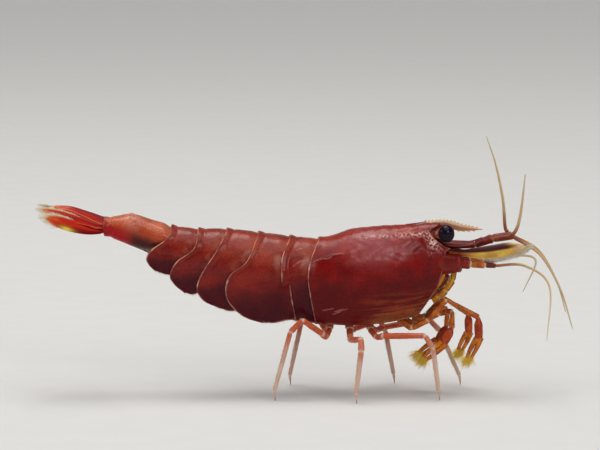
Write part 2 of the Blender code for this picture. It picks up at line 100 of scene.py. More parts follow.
CREASE = ((0.07, 8.68), (0.9, 8.86), (1.5, 9.1), (2.3, 9.22))
# Pale strokes painted on the lower flank of the carapace: glints of light along fine creases.
SIDE_GLINT_STROKES = (((0.84, 5.63), (1.62, 5.76)), ((1.45, 5.34), (2.5, 5.77)), ((1.62, 5.55), (2.25, 5.74)))
WRINKLE_DEPTH = 0.015     # of the fine folds over the back and the saddle


def glide(points, t):
    """Points at each t from 0 to 1 on the smooth curve through the given ones.

    It is a Catmull-Rom curve: each span is the cubic through its two ends whose slopes are half the chord
    between their neighbours. The missing neighbours of the first and last point are mirrored.
    """
    p = np.asarray(points, float)
    p = np.vstack((2 * p[:1] - p[1:2], p, 2 * p[-1:] - p[-2:-1]))
    spans = len(p) - 3
    at = np.clip(np.asarray(t, float), 0, 1) * spans
    i = np.minimum(at.astype(int), spans - 1)
    u = (at - i)[..., None]
    a, b, c, d = p[i], p[i + 1], p[i + 2], p[i + 3]
    return 0.5 * (2 * b + (c - a) * u + (2 * a - 5 * b + 4 * c - d) * u ** 2
                  + (3 * b - a - 3 * c + d) * u ** 3)


def lines_at(lines, x):
    """What lines that run from front to rear give at each x: the smooth curve through their points."""
    share = np.interp(x, lines[::-1, 0], np.linspace(1, 0, len(lines)))
    return np.moveaxis(glide(lines[:, 1:], share), -1, 0)


def body_at(x):
    """The back's height, the lower edge's height and the half width at each x."""
    return lines_at(BODY_LINES, x)


def flank(x, z):
    """Half width at x and height z: a rounded arch above mid height, and a side that draws in below it."""
    back, low, half = body_at(x)
    v = 2 * (back - z) / (back - low)
    arch = (1 - np.clip(1 - v, 0, 1) ** BACK_ROUND) ** (1 / BACK_ROUND)
    return half * np.where(v < 1, arch, 1 - TUCK * (v - 1) ** 2)


def ease(low, high, value):
    """0 below low, 1 above high, and a soft S between them."""
    u = np.clip((value - low) / (high - low), 0, 1)
    return u * u * (3 - 2 * u)


def bell(value, middle, breadth):
    """1 at the middle, fading to nothing over the breadth on both sides."""
    return np.exp(-((value - middle) / breadth) ** 2)


def unit(ways):
    """Each way at length 1."""
    return ways / np.maximum(np.linalg.norm(ways, axis=-1, keepdims=True), 1e-9)


def on_back(margin):
    """A margin with its first point set on the back line."""
    margin = np.array(margin, float)
    margin[0, 1] = body_at(margin[0, 0])[0]
    return margin


def outward(grid):
    """The unit normal at each point of a grid whose columns run round and whose rows run along."""
    return unit(np.cross(np.gradient(grid, axis=1), np.gradient(grid, axis=0)))


def raised(grid, height):
    """The grid with each point moved outward by its height."""
    return grid + outward(grid) * height[..., None]


def grid_faces(rows, columns, closed):
    """The four-sided faces of a grid, joined from its last column to its first where it is closed."""
    i, j = np.meshgrid(np.arange(rows - 1), np.arange(columns if closed else columns - 1), indexing="ij")
    k = (j + 1) % columns
    faces = np.stack((i * columns + j, i * columns + k, (i + 1) * columns + k, (i + 1) * columns + j), -1)
    return faces.reshape(-1, 4)


def sheet(grid, **marks):
    """An open shape: the points and faces of a grid, and its marks."""
    return grid.reshape(-1, 3), grid_faces(*grid.shape[:2], False).tolist(), marks


def stood(name, data):
    """A new object set into the scene."""
    thing = bpy.data.objects.new(name, data)
    bpy.context.scene.collection.objects.link(thing)
    return thing


def cast(name, shape, finish, replaces=(), wall=0.0):
    """A finished piece. Its shape is points in millimetres, faces, and marks: numbers at each point.

    The finish reads the marks by name. A wall gives an open shell its thickness, inward.
    """
    points, faces, marks = shape
    mesh = bpy.data.meshes.new(name)
    mesh.from_pydata((points * MM).tolist(), [], faces)
    mesh.shade_smooth()
    for mark_name, values in marks.items():
        layer = mesh.attributes.new(mark_name, "FLOAT", "POINT")
        layer.data.foreach_set("value", np.ravel(values).astype(np.float32))
    mesh.materials.append(finish)
    piece = stood(name, mesh)
    if wall:
        shell = piece.modifiers.new("wall", "SOLIDIFY")
        shell.thickness = wall * MM
        shell.offset = -1
    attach(piece, "root")
    if replaces:
        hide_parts(*replaces)
    return piece


def down_side(turn):
    """How far down the side each column lies, with the columns closer together near the back."""
    return (1 - np.cos(turn * np.pi / 2)) * ROW_CROWDING + turn * (1 - ROW_CROWDING)


def laid_between(front, rear, share, t):
    """x and z at a share down the side and at t of the way from the front margin to the rear one.

    The way between the margins is straight, and the back line's own rise is added near the top.
    """
    ahead, behind = glide(front, share), glide(rear, share)
    x, z = (ahead[:, axis] + (behind[:, axis] - ahead[:, axis]) * t for axis in (0, 1))
    top_x, top_z = (front[0][axis] + (rear[0][axis] - front[0][axis]) * t for axis in (0, 1))
    return x, z + (body_at(top_x)[0] - top_z) * (1 - share) ** 2


def plate_grid(front, rear, bulge, rows, columns, before, after):
    """A shell plate laid over the body, with its share down the side and its distances from both margins.

    Each row runs from the right lower edge over the back to the left one, and rows run from front to rear.
    The lower edge sags between the margins as a half sine. The width at each place is the body's own. before
    and after are how far the grid goes on past its margins.
    """
    u = np.linspace(-1, 1, 2 * columns + 1)
    share = down_side(np.abs(u))
    width = glide(front, share)[:, 0] - glide(rear, share)[:, 0]
    along = -before + (width + before + after) * np.linspace(0, 1, rows)[:, None]
    t = along / width
    x, z = laid_between(front, rear, share, t)
    z = z - bulge * np.sin(np.pi * np.clip(t, 0, 1)) * share ** 2
    y = np.sign(u) * flank(x, z)
    return np.stack((x, y, z), -1), np.broadcast_to(share, x.shape), along, width - along


def wrinkles(x, around):
    """Uneven folds: two waves that bend each other, one along the body and one round it, and a finer pair."""
    broad = np.sin(5.5 * x + 1.9 * np.sin(3.1 * around)) * np.sin(6.1 * around + 1.6 * np.sin(2.9 * x))
    fine = np.sin(13.0 * x + 2.0 * np.sin(7.0 * around)) * np.sin(12.0 * around + 1.5 * np.sin(9.0 * x))
    return broad + 0.25 * fine


def carapace():
    """The carapace: the plate surface with a spine, a raised rear lip, faint grooves and a creased saddle.

    Each groove or fold is a bell across its line, and fades in and out along it.
    """
    front, rear = on_back(CARAPACE_FRONT), on_back(CARAPACE_REAR)
    grid, down, along, behind = plate_grid(front, rear, CARAPACE_BULGE, *CARAPACE_GRID, 0.0, LAP)
    to_rear, to_hem = behind + LAP, (1 - down) * CARAPACE_SIDE
    x, z = grid[..., 0].copy(), grid[..., 2].copy()
    reach = SPINE_REACH * bell(z, SPINE_HEIGHT, SPINE_BREADTH) * np.exp(-along / 0.45)
    grid[..., 0] += reach + CREST_REACH * bell(down, 0.0, 0.075) * np.exp(-along / 0.5)
    grid[..., 1] *= 1 + 0.25 * reach
    off_crest = ease(0.08, 0.22, down)
    lip = LIP_LIFT * bell(np.clip(to_rear, 0, None), 0, LIP_REACH)
    front_lip = off_crest * (0.04 * bell(along, 0, 0.16) - 0.025 * bell(along, 0.34, 0.14))
    neck = -0.028 * bell(x, NECK_AT[0] + NECK_LEAN * (z - NECK_AT[1]), 0.30) * bell(z, 9.2, 0.8)
    gill = -0.03 * bell(z, 8.35 - 0.05 * (x - 2.0) ** 2, 0.28) * ease(1.5, 3.2, x) * (1 - ease(4.6, 6.2, x))
    crease_z = np.interp(x, *np.transpose(CREASE))
    crease = 0.04 * bell(z, crease_z, 0.07) * ease(-0.1, 0.3, x) * (1 - ease(1.9, 2.5, x))
    folds = WRINKLE_DEPTH * wrinkles(x, down * 7.0) * ease(1.6, 3.4, x) * (1 - ease(0.34, 0.52, down))
    cheek = 0.08 * bell(x, 7.0, 0.9) * bell(z, 7.4, 1.0)
    hollow = -0.05 * bell(along, 0.55, 0.28) * bell(z, 9.95, 0.5)
    grid = raised(grid, lip + front_lip + neck + gill + crease + cheek + hollow + folds)

    # Near the hinge the margin is drawn broader: a painted glint of light.
    margin = np.minimum(np.minimum(along, to_rear), to_hem) * (1 - HINGE_GLINT * bell(down, HINGE_AT, 0.09))
    round_saddle = ((x - 4.0) / 1.95) ** 2 + ((z - 9.55) / 1.05) ** 2
    saddle = np.exp(-round_saddle ** 1.6) + 0.7 * bell(x, 5.5, 0.6) * bell(z, 9.1, 0.35)
    along_back = 0.55 * ease(2.6, 3.8, x) + 0.45 * ease(5.2, 7.0, x)
    # Pale flecks behind the eye, and a band of painted glints along the back line, where the light from above
    # catches it.
    frost = (1.5 * bell(x, 7.95, 0.34) * bell(z, 10.0, 0.38)
             + 0.7 * bell(z, 10.4 - 0.05 * (7.5 - x), 0.14) * along_back
             + 0.25 * bell(z, 9.3, 0.25) * bell(x, 8.0, 0.5))
    chest = (1 - ease(0.4, 1.5, to_hem)) * ease(2.4, 4.8, x)
    hem = (1 - ease(0.1, 0.5, to_hem)) * ease(3.0, 5.0, x)
    rear_line = 1 - 0.5 * ease(0.42, 0.6, down)
    front_line = (0.45 + 0.45 * bell(z, 9.75, 0.4)) * off_crest
    line = np.where(to_rear < along, rear_line, front_line) * np.where(to_hem < 0.12, 0.5, 1.0)
    cast("carapace_shell",
         sheet(grid, margin=margin, down=down, saddle=np.clip(saddle, 0, 1), frost=np.clip(frost, 0, 1),
               chest=chest, hem=hem, line=line),
         shell_finish, ("carapace",), SHELL_WALL)


def dye(red, green, blue):
    """A colour as it looks on a screen, from 0 to 255, turned into the light that Blender mixes."""
    screen = np.array((red, green, blue)) / 255
    return tuple(np.where(screen <= 0.04045, screen / 12.92, ((screen + 0.055) / 1.055) ** 2.4).tolist())


class Bench:
    """The finish or shared effect that is being made: its nodes, and the sockets of a finish's shader."""
    tree = shader = None


class Reading:
    """What a node gives at each point, with the sums that can be done on it."""

    def __init__(self, socket):
        self.socket = socket

    def __add__(self, other):
        return maths("ADD", self, other)

    def __sub__(self, other):
        return maths("SUBTRACT", self, other)

    def __rsub__(self, other):
        return maths("SUBTRACT", other, self)

    def __mul__(self, other):
        return maths("MULTIPLY", self, other)

    def __truediv__(self, other):
        return maths("DIVIDE", self, other)


def plug(socket, feed):
    """Fills a socket with a number, a colour or a reading."""
    if isinstance(feed, Reading):
        Bench.tree.links.new(feed.socket, socket)
    else:
        socket.default_value = (*feed, 1) if socket.type == "RGBA" else feed


def node(kind, gives=0, feeds=None, **settings):
    """A new node's reading, or several where gives lists them. Its inputs go by name or number."""
    made = Bench.tree.nodes.new("ShaderNode" + kind)
    for key, value in settings.items():
        setattr(made, key, value)
    for key, feed in (feeds or {}).items():
        plug(made.inputs[key], feed)
    if isinstance(gives, tuple):
        return [Reading(made.outputs[key]) for key in gives]
    return Reading(made.outputs[gives])


def maths(way, one, two=0.0):
    """Two values added, multiplied or otherwise put together."""
    return node("Math", 0, {0: one, 1: two}, operation=way)


def vectors(way, one, two):
    """Two vectors taken from each other, or the one number that they make."""
    return node("VectorMath", 0 if way == "SUBTRACT" else 1, {0: one, 1: two}, operation=way)


def mark(name):
    """The numbers that a piece keeps at its points under this name."""
    return node("Attribute", "Fac", attribute_name=name)


def between(value, low, high, bottom=0.0, top=1.0):
    """Bottom where the value is low, top where it is high, and a soft S between them."""
    feeds = {"Value": value, "From Min": low, "From Max": high, "To Min": bottom, "To Max": top}
    return node("MapRange", "Result", feeds, interpolation_type="SMOOTHSTEP")


def mixed(share, one, two, way="MIX"):
    """One colour laid over another, as much as the share says."""
    return node("Mix", 2, {0: share, 6: one, 7: two}, data_type="RGBA", blend_type=way)


def washed(colour, *washes):
    """A colour with others laid over it in turn, each as much as its share says."""
    for share, wash in washes:
        colour = mixed(share, colour, wash)
    return colour


def here():
    """Each point's place on the piece, in metres."""
    return node("TexCoord", "Object")


def noise(scale, detail, place=None):
    """Soft noise, with so many clouds to the metre."""
    return node("TexNoise", "Fac", {"Vector": place or here(), "Scale": scale, "Detail": detail})


def dots(scale):
    """The distance to the nearest of many scattered dots, with so many dots to the metre."""
    return node("TexVoronoi", "Distance", {"Vector": here(), "Scale": scale})


def clouds(size, detail=3.0):
    """Soft noise whose clouds are about as many millimetres across as size says."""
    return noise(1 / (size * MM), detail)


def streaks(length, count):
    """Streaks that run along a plate: noise that is long over x and goes round many times down the side."""
    ahead = node("SeparateXYZ", "X", {"Vector": here()})
    return noise(1.0, 4.0, node("CombineXYZ", 0, {"X": ahead * (1 / (length * MM)), "Y": mark("down") * count}))


def drifting(value, size, amount):
    """A value pushed up and down by clouds, so that what follows it has an uneven edge."""
    return value + (clouds(size) - 0.5) * amount


def cut_group(name, inputs, outputs):
    """Starts a shared effect: a node group with number sockets, the readings of its inputs, and its outputs."""
    tree = Bench.tree = bpy.data.node_groups.new(name, "ShaderNodeTree")
    for way, names in (("INPUT", inputs), ("OUTPUT", outputs)):
        for socket in names:
            tree.interface.new_socket(socket, in_out=way, socket_type="NodeSocketFloat")
    given = tree.nodes.new("NodeGroupInput").outputs
    return tree, [Reading(given[socket]) for socket in inputs], tree.nodes.new("NodeGroupOutput").inputs


def colour_cells():
    """The skin's pigment: star-shaped cells some hundredths of a millimetre wide, in clouds of thick and thin."""
    tree, (count, patches, cover), out = cut_group(
        "colour_cells", ("Cells per metre", "Clouds per metre", "Cover"), ("Cells", "Clouds"))
    torn = noise(patches, 4.0)
    ragged = dots(count) + noise(count, 2.0) * 0.55
    plug(out["Cells"], between(cover + torn * 0.35 - ragged, -0.12, 0.12))
    plug(out["Clouds"], between(torn, 0.34, 0.68))
    return tree


def wet_shell():
    """The shell's own surface: low waves, and pits where fine hairs stand. It gives a height and a dullness."""
    tree, (pits, waves), out = cut_group("wet_shell", ("Pits per metre", "Waves per metre"), ("Height", "Dull"))
    wave = noise(waves, 5.0)
    plug(out["Height"], wave * 0.75 + between(dots(pits), 0.0, 0.35) * 0.25)
    plug(out["Dull"], between(wave, 0.35, 0.7))
    return tree


def pale_edge():
    """The thin clear border of a plate or fin: a line of a given width on its free edge, broken in places, with a
    band of painted shade inside it.
    """
    tree, (distance, width, breaks), out = cut_group(
        "pale_edge", ("Distance", "Width", "Breaks per metre"), ("Line", "Shade"))
    ratio = distance / (width * (noise(breaks, 2.0) + 0.5))
    plug(out["Line"], between(ratio, 1.15, 0.75))
    plug(out["Shade"], between(ratio, 4.2, 1.2))
    return tree


def pale_stroke():
    """A fine pale stroke painted on a shell as a glint of light along a crease, seen from the side: where a point
    lies near a line between two places.

    The distance is to the nearest point of the line. The stroke thins out to its ends, and a little noise makes
    it waver and fade.
    """
    tree, (from_x, from_z, to_x, to_z, width), out = cut_group(
        "pale_stroke", ("From x", "From z", "To x", "To z", "Width"), ("Line",))
    waver = noise(1.6 / MM, 2.0)
    x, z = node("SeparateXYZ", ("X", "Z"), {"Vector": here()})
    lifted = z + (waver - 0.5) * (0.3 * MM)
    spot, start, end = (node("CombineXYZ", 0, {"X": across, "Z": up})
                        for across, up in ((x, lifted), (from_x, from_z), (to_x, to_z)))
    way, reach = vectors("SUBTRACT", end, start), vectors("SUBTRACT", spot, start)
    share = node("Clamp", 0, {"Value": vectors("DOT_PRODUCT", reach, way) / vectors("DOT_PRODUCT", way, way)})
    off = vectors("DISTANCE", reach, node("VectorMath", 0, {0: way, "Scale": share}, operation="SCALE"))
    middle = share * 2.0 - 1.0
    square = middle * middle
    ratio = off / (width * (1.0 - square * square * 0.8))
    plug(out["Line"], between(ratio, 1.0, 0.3) * between(waver, 0.38, 0.58, 0.25, 1.0))
    return tree


CELLS, WET, EDGE, STROKE = colour_cells(), wet_shell(), pale_edge(), pale_stroke()
STROKE_WIDTH = 0.045
GRAIN_TINT = (0.45, 0.4, 0.5)       # what the dark streaks leave of the colour
BARE_TINT = (1.9, 2.7, 2.4)         # and how much brighter it is between the colour cells


def pigment(count, patches, cover):
    """Colour cells and their clouds set into a finish, with so many to the millimetre."""
    return node("Group", ("Cells", "Clouds"), {"Cells per metre": count / MM, "Clouds per metre": patches / MM,
                                               "Cover": cover}, node_tree=CELLS)


def border(width, breaks):
    """The pale line and the painted shade beside it along a piece's free edge, from its margin mark."""
    return node("Group", ("Line", "Shade"), {"Distance": mark("margin"), "Width": width,
                                             "Breaks per metre": breaks / MM}, node_tree=EDGE)


def begin_finish(name, roughness=0.34, coat=0.22, depth=0.25, glow=0.1):
    """A new finish: shell or skin under a wet film, that lets a little light in. Depth is in millimetres."""
    finish = bpy.data.materials.new(name)
    finish.use_nodes = True
    Bench.tree = finish.node_tree
    Bench.shader = Bench.tree.nodes["Principled BSDF"].inputs
    for socket, value in (("Roughness", roughness), ("IOR", 1.5), ("Specular IOR Level", 0.12),
                          ("Coat Weight", coat), ("Coat Roughness", 0.22), ("Subsurface Weight", glow),
                          ("Subsurface Scale", depth * MM), ("Subsurface Radius", (1.0, 0.28, 0.16))):
        Bench.shader[socket].default_value = value
    return finish


def relief(height, depth, strength):
    """Bump on the finish, where a height of 1 stands the given millimetres proud."""
    bump = node("Bump", 0, {"Height": height, "Strength": strength, "Distance": depth * MM})
    plug(Bench.shader["Normal"], bump)


def surfaced(colour, pits, waves, depth, strength):
    """Gives the finish its colour and the shell's pits and waves, and says how dull each place is."""
    plug(Bench.shader["Base Color"], colour)
    feeds = {"Pits per metre": pits / MM, "Waves per metre": waves / MM}
    height, dull = node("Group", ("Height", "Dull"), feeds, node_tree=WET)
    relief(height, depth, strength)
    return dull


def make_shell_finish(name, back, flank_colour, low, patches=(), strokes=(), pale=dye(232, 168, 146)):
    """Glossy crimson shell: browner on the back, near black-red below, with colour cells and a clear border.

    A patch is a mark kept at the points, the grain that breaks it up, from where to where on that grain it
    comes in, its strength and its colour. A stroke is a fine pale line between two places in the side view, a
    painted glint of light along a crease.
    """
    finish = begin_finish(name)
    down = mark("down")
    cells, torn = pigment(15, 0.75, 0.58)
    drift = drifting(down, 1.3, 0.5)
    colour = washed(back, (between(drift, 0.04, 0.36), flank_colour), (between(drift, 0.36, 0.85), low))
    darker = mixed(1.0, colour, GRAIN_TINT, "MULTIPLY")
    grain = between(streaks(1.6, 30.0), 0.35, 0.7, 0.0, 0.35)
    colour = washed(colour, (grain, darker), (torn * 0.35, dye(74, 3, 8)))
    bare = mixed(1.0, colour, BARE_TINT, "MULTIPLY")
    colour = mixed(between(cells, 1.0, 0.0, 0.0, 0.55), colour, bare)
    for patch, (grain_of, *sizes), scarce, dense, strength, patch_colour in patches:
        flecks = between(grain_of(*sizes), scarce, dense, 0.0, strength)
        colour = mixed(mark(patch) * flecks, colour, patch_colour)
    line, shade = border(0.065, 2.2)
    # Painted shade: a darker band just inside each free margin.
    colour = mixed(shade * 0.35, colour, dye(92, 14, 10))
    line = line * mark("line") * between(clouds(0.7), 0.4, 0.62, 0.2, 0.95)
    colour = mixed(line, colour, mixed(between(down, 0.1, 0.3), dye(224, 120, 70), pale))
    # Each stroke paints a glint of light along a crease; the carapace's main crease is also raised in its shape.
    for (from_x, from_z), (to_x, to_z) in strokes:
        line = node("Group", 0, {"From x": from_x * MM, "From z": from_z * MM, "To x": to_x * MM,
                                 "To z": to_z * MM, "Width": STROKE_WIDTH * MM}, node_tree=STROKE)
        colour = mixed(line * 0.36, colour, pale)
    dull = surfaced(colour, pits=3.2, waves=1.6, depth=0.06, strength=0.6)
    plug(Bench.shader["Coat Weight"], between(down, 0.3, 0.8, 0.26, 0.06))
    plug(Bench.shader["Roughness"], between(dull, 0.0, 1.0, 0.24, 0.42))
    return finish


shell_finish = make_shell_finish("crimson_shell", dye(140, 38, 26), dye(120, 7, 4), dye(88, 2, 3),
                                 (("saddle", (clouds, 1.3), 0.2, 0.5, 0.85, dye(152, 68, 70)),
                                  ("saddle", (clouds, 0.7, 4.0), 0.48, 0.7, 0.4, dye(192, 118, 110)),
                                  ("chest", (streaks, 2.4, 34.0), 0.42, 0.60, 0.8, dye(142, 60, 26)),
                                  ("hem", (clouds, 0.8), 0.3, 0.6, 0.4, dye(176, 110, 48)),
                                  # pale flecks behind the eye, and painted glints of light along the back line
                                  ("frost", (clouds, 0.14, 4.0), 0.44, 0.58, 1.0, dye(244, 200, 190))),
                                 (*zip(CREASE, CREASE[1:]), *SIDE_GLINT_STROKES))
carapace()

# ---------------------------------------------------------------------------------------- abdomen, first five
# The first five abdominal plates are hoops of the same shell, hinged to each other at the sides and joined by
# soft skin. Each one's free rear edge laps the next, but the second plate's broad side flaps lap the first as
# well, as on every shrimp of this kind. The rear margins are clear and catch the light.

PLATE_REARS = (
    ((-1.0, 10.1), (-1.52, 8.9), (-1.55, 7.7), (-1.42, 6.4), (-1.15, 4.98)),
    ((-3.0, 10.4), (-3.75, 8.75), (-4.9, 7.75), (-5.0, 6.4), (-4.05, 5.3), (-2.8, 4.8)),
    ((-5.0, 10.6), (-5.65, 9.35), (-6.6, 7.95), (-6.9, 6.95), (-6.5, 6.2), (-5.7, 5.75)),
    ((-6.85, 10.6), (-7.1, 9.5), (-8.2, 8.65), (-8.6, 7.75), (-8.3, 7.15), (-7.7, 6.64)),
    ((-8.55, 10.8), (-8.75, 10.1), (-9.75, 9.4), (-10.1, 8.85), (-9.95, 8.4), (-9.6, 8.0)))
PLATES_FOLLOW = (1.0, 1.0, 0.75, 0.68, 0.6)   # how much of the margin ahead each plate follows
PLATE_BULGES = (0.05, 0.12, 0.12, 0.12, 0.05)
PLATE_SIDE = 5.0          # from the back down to the lower edge
PLATE_GRID = (64, 60)     # rows and columns, as on the carapace
TUCKED = 0.6              # how far a plate goes on under the one ahead
TUCK_DEPTH = 0.07         # and how much lower it lies there
FLAP_FROM = 0.55          # how far down the side the second plate's flap starts to lie outside the first
FAR = 9.0                 # stands for no free edge near by
# Pale strokes painted on the first plate: glints of light along fine creases.
PLATE_GLINT_STROKES = (((-1.0, 8.4), (-0.45, 8.84)), ((-0.75, 8.62), (-0.15, 8.8)), ((-0.85, 9.36), (-0.34, 9.58)))


def margin_behind(margin, followed):
    """The front of the next plate: the margin ahead, a gap further back, for the share that is followed."""
    points = glide(margin, np.linspace(0, followed, 6))
    points[:, 0] -= GAP
    return on_back(points)


def abdomen_plate(number, front, rear):
    """A hoop of shell: its front dips under the plate ahead, and a groove runs in front of its raised lip."""
    grid, down, along, behind = plate_grid(front, rear, PLATE_BULGES[number - 1], *PLATE_GRID, TUCKED, LAP)
    to_rear, to_hem = np.clip(behind + LAP, 0, None), (1 - down) * PLATE_SIDE
    lip = LIP_LIFT * bell(to_rear, 0, LIP_REACH) - 0.035 * bell(to_rear, 0.46, 0.13)
    under = -TUCK_DEPTH * (1 - ease(-0.15, 0.5, along))
    flap = ease(FLAP_FROM, FLAP_FROM + 0.12, down)
    margin = np.minimum(to_rear + FAR * flap * (number == 1), to_hem)
    if number == 1:
        lip = lip * (1 - flap) - 0.05 * flap * bell(to_rear, 0, 0.5)
    if number == 2:
        under = under * (1 - flap) + flap * 0.11 * bell(np.clip(along + 0.3, 0, None), 0, 0.4)
        margin = np.where(flap > 0.5, np.minimum(margin, along + TUCKED), margin)
    hinge = 0.05 * bell(down, HINGE_AT, 0.05) * bell(to_rear, 0.2, 0.25)
    fold = -0.03 * bell(down, 0.5, 0.03) * ease(0.1, 0.5, along) * ease(0.2, 0.6, to_rear)
    grid = raised(grid, lip + under + hinge + fold)
    cast(f"abdomen_plate_{number}",
         # near the hinge the margin is drawn broader, a painted glint of light
         sheet(grid, margin=margin * (1 - HINGE_GLINT * bell(down, HINGE_AT, 0.09)), down=down,
               shoulder=bell(down, 0.26, 0.2) * (1 - ease(0.1, 1.1, along)), lobe=ease(0.5, 0.72, down),
               line=np.where(to_hem < 0.1, 0.6, 1.0) * (1 - 0.4 * ease(0.5, 0.66, down))),
         abdomen_finish, (f"abdomen_{number}",), SHELL_WALL)
    return grid


abdomen_finish = make_shell_finish("crimson_plates", dye(140, 48, 34), dye(126, 22, 12), dye(80, 3, 10),
                                   (("shoulder", (clouds, 0.5), 0.40, 0.60, 0.7, dye(158, 76, 46)),
                                    ("lobe", (clouds, 1.6), 0.2, 0.55, 0.75, dye(60, 2, 17))),
                                   PLATE_GLINT_STROKES)
plates = []
rear = on_back(CARAPACE_REAR)
for number, (next_rear, followed) in enumerate(zip(PLATE_REARS, PLATES_FOLLOW), start=1):
    front, rear = margin_behind(rear, followed), on_back(next_rear)
    plates.append(abdomen_plate(number, front, rear))

# --------------------------------------------------------------------------------- flesh under the plates
# Under the plates the body is one soft trunk: muscle in thin clear skin, with a cross bar of harder shell on
# the underside of each segment. It is seen from below, and as a pale fold wherever two plates part.

FLESH_REACH = (8.3, -12.4)
BACK_INSET = 0.22         # how far inside the shell the flesh lies on the back, and on the flanks
FLANK_INSET = 0.25
FLESH_FLOOR = 0.70        # how far down the body's height the underside lies
BAR_PITCH = 1.75          # from one cross bar to the next
BAR_HEIGHT = 0.07


def round_turn(corners):
    """Angles once round, one for each corner."""
    return np.linspace(0, 2 * np.pi, corners, endpoint=False)


def squared(ways, ahead):
    """Ways turned square to the way ahead, at length 1."""
    return unit(ways - ahead * np.sum(ways * ahead, axis=-1, keepdims=True))


def carried(path, half_width, half_height, corners, across=(0, 1, 0)):
    """An oval carried along a path: its width lies along across, turned square to the path at every point.

    The first corner lies on the across side, and the corners run round by the right-hand rule about the way
    that the path goes. A half size is one number, one for each ring, or one for each corner of each ring.
    """
    ahead = unit(np.gradient(path, axis=0))
    side = squared(np.asarray(across, float), ahead)
    turn = round_turn(corners)
    wide, tall = (half[:, None] if np.ndim(half) == 1 else half for half in (half_width, half_height))
    return (path[:, None] + side[:, None] * (wide * np.cos(turn))[..., None]
            + np.cross(ahead, side)[:, None] * (tall * np.sin(turn))[..., None])


def capped(grid, **marks):
    """A closed tube as a shape: the grid's rings, and a middle point that closes each end."""
    rows, columns = grid.shape[:2]
    points = np.vstack((grid.reshape(-1, 3), grid[0].mean(0), grid[-1].mean(0)))
    around, end = np.arange(columns), (rows - 1) * columns
    onward, middle = (around + 1) % columns, np.full(columns, rows * columns)
    faces = grid_faces(rows, columns, True).tolist()
    faces += np.stack((middle, onward, around), -1).tolist()
    faces += np.stack((middle + 1, end + around, end + onward), -1).tolist()
    kept = {}
    for name, values in marks.items():
        values = np.broadcast_to(values, (rows, columns))
        kept[name] = np.concatenate((values.ravel(), (values[0].mean(), values[-1].mean())))
    return points, faces, kept


def joined(*parts):
    """Several closed shapes put together as one. A mark that one of them lacks is nought on it."""
    points, faces, first = [], [], 0
    for part_points, part_faces, _ in parts:
        points.append(part_points)
        faces += [[first + corner for corner in face] for face in part_faces]
        first += len(part_points)
    marks = {}
    for name in sorted({name for part in parts for name in part[2]}):
        marks[name] = np.concatenate([part[2].get(name, np.zeros(len(part[0]))) for part in parts])
    return np.vstack(points), faces, marks


def make_flesh_finish(name, thick, thin, spots):
    """Soft skin over muscle: light from inside, cloudy, with a scatter of red colour cells."""
    finish = begin_finish(name, roughness=0.35, coat=0.4, depth=0.5, glow=0.35)
    cells, torn = pigment(9, 1.4, 0.12)
    surfaced(washed(thin, (torn, thick), (cells * 0.55, spots)), pits=5, waves=2.5, depth=0.06, strength=0.5)
    return finish


def flesh():
    """The trunk inside the shell, flattened below, with a low cross bar under each segment."""
    x = np.linspace(*FLESH_REACH, 200)
    back, low, half = body_at(x)
    top, floor = back - BACK_INSET, back - (back - low) * FLESH_FLOOR
    bars = BAR_HEIGHT * bell((x / BAR_PITCH) % 1.0, 0.5, 0.16)
    corners = 40
    below = np.clip(np.sin(round_turn(corners)), 0, 1) ** 2
    height = ((top - floor) / 2)[:, None] + bars[:, None] * below
    path = np.stack((x, np.zeros_like(x), (top + floor) / 2), -1)
    cast("trunk_flesh", capped(carried(path, half - FLANK_INSET, height, corners)),
         flesh_finish)


flesh_finish = make_flesh_finish("trunk_skin", dye(110, 26, 16), dye(160, 70, 44), dye(120, 10, 8))
flesh()

# ------------------------------------------------------------------------------------------ sixth segment
# The sixth segment is the longest hoop and the only one that is closed below. It narrows to the root of the
# tail fan, and is paler than the plates ahead: light passes through it.

SEGMENT_6_FOLLOWS = 0.62
SEGMENT_6_FLOOR = (-10.4, 9.15)
TAIL_JOINT = -12.95
COLLAR_AT = -13.0         # where the raised collar round the tail's root stands
HUMP_AT = -11.2           # and the low hump on the back


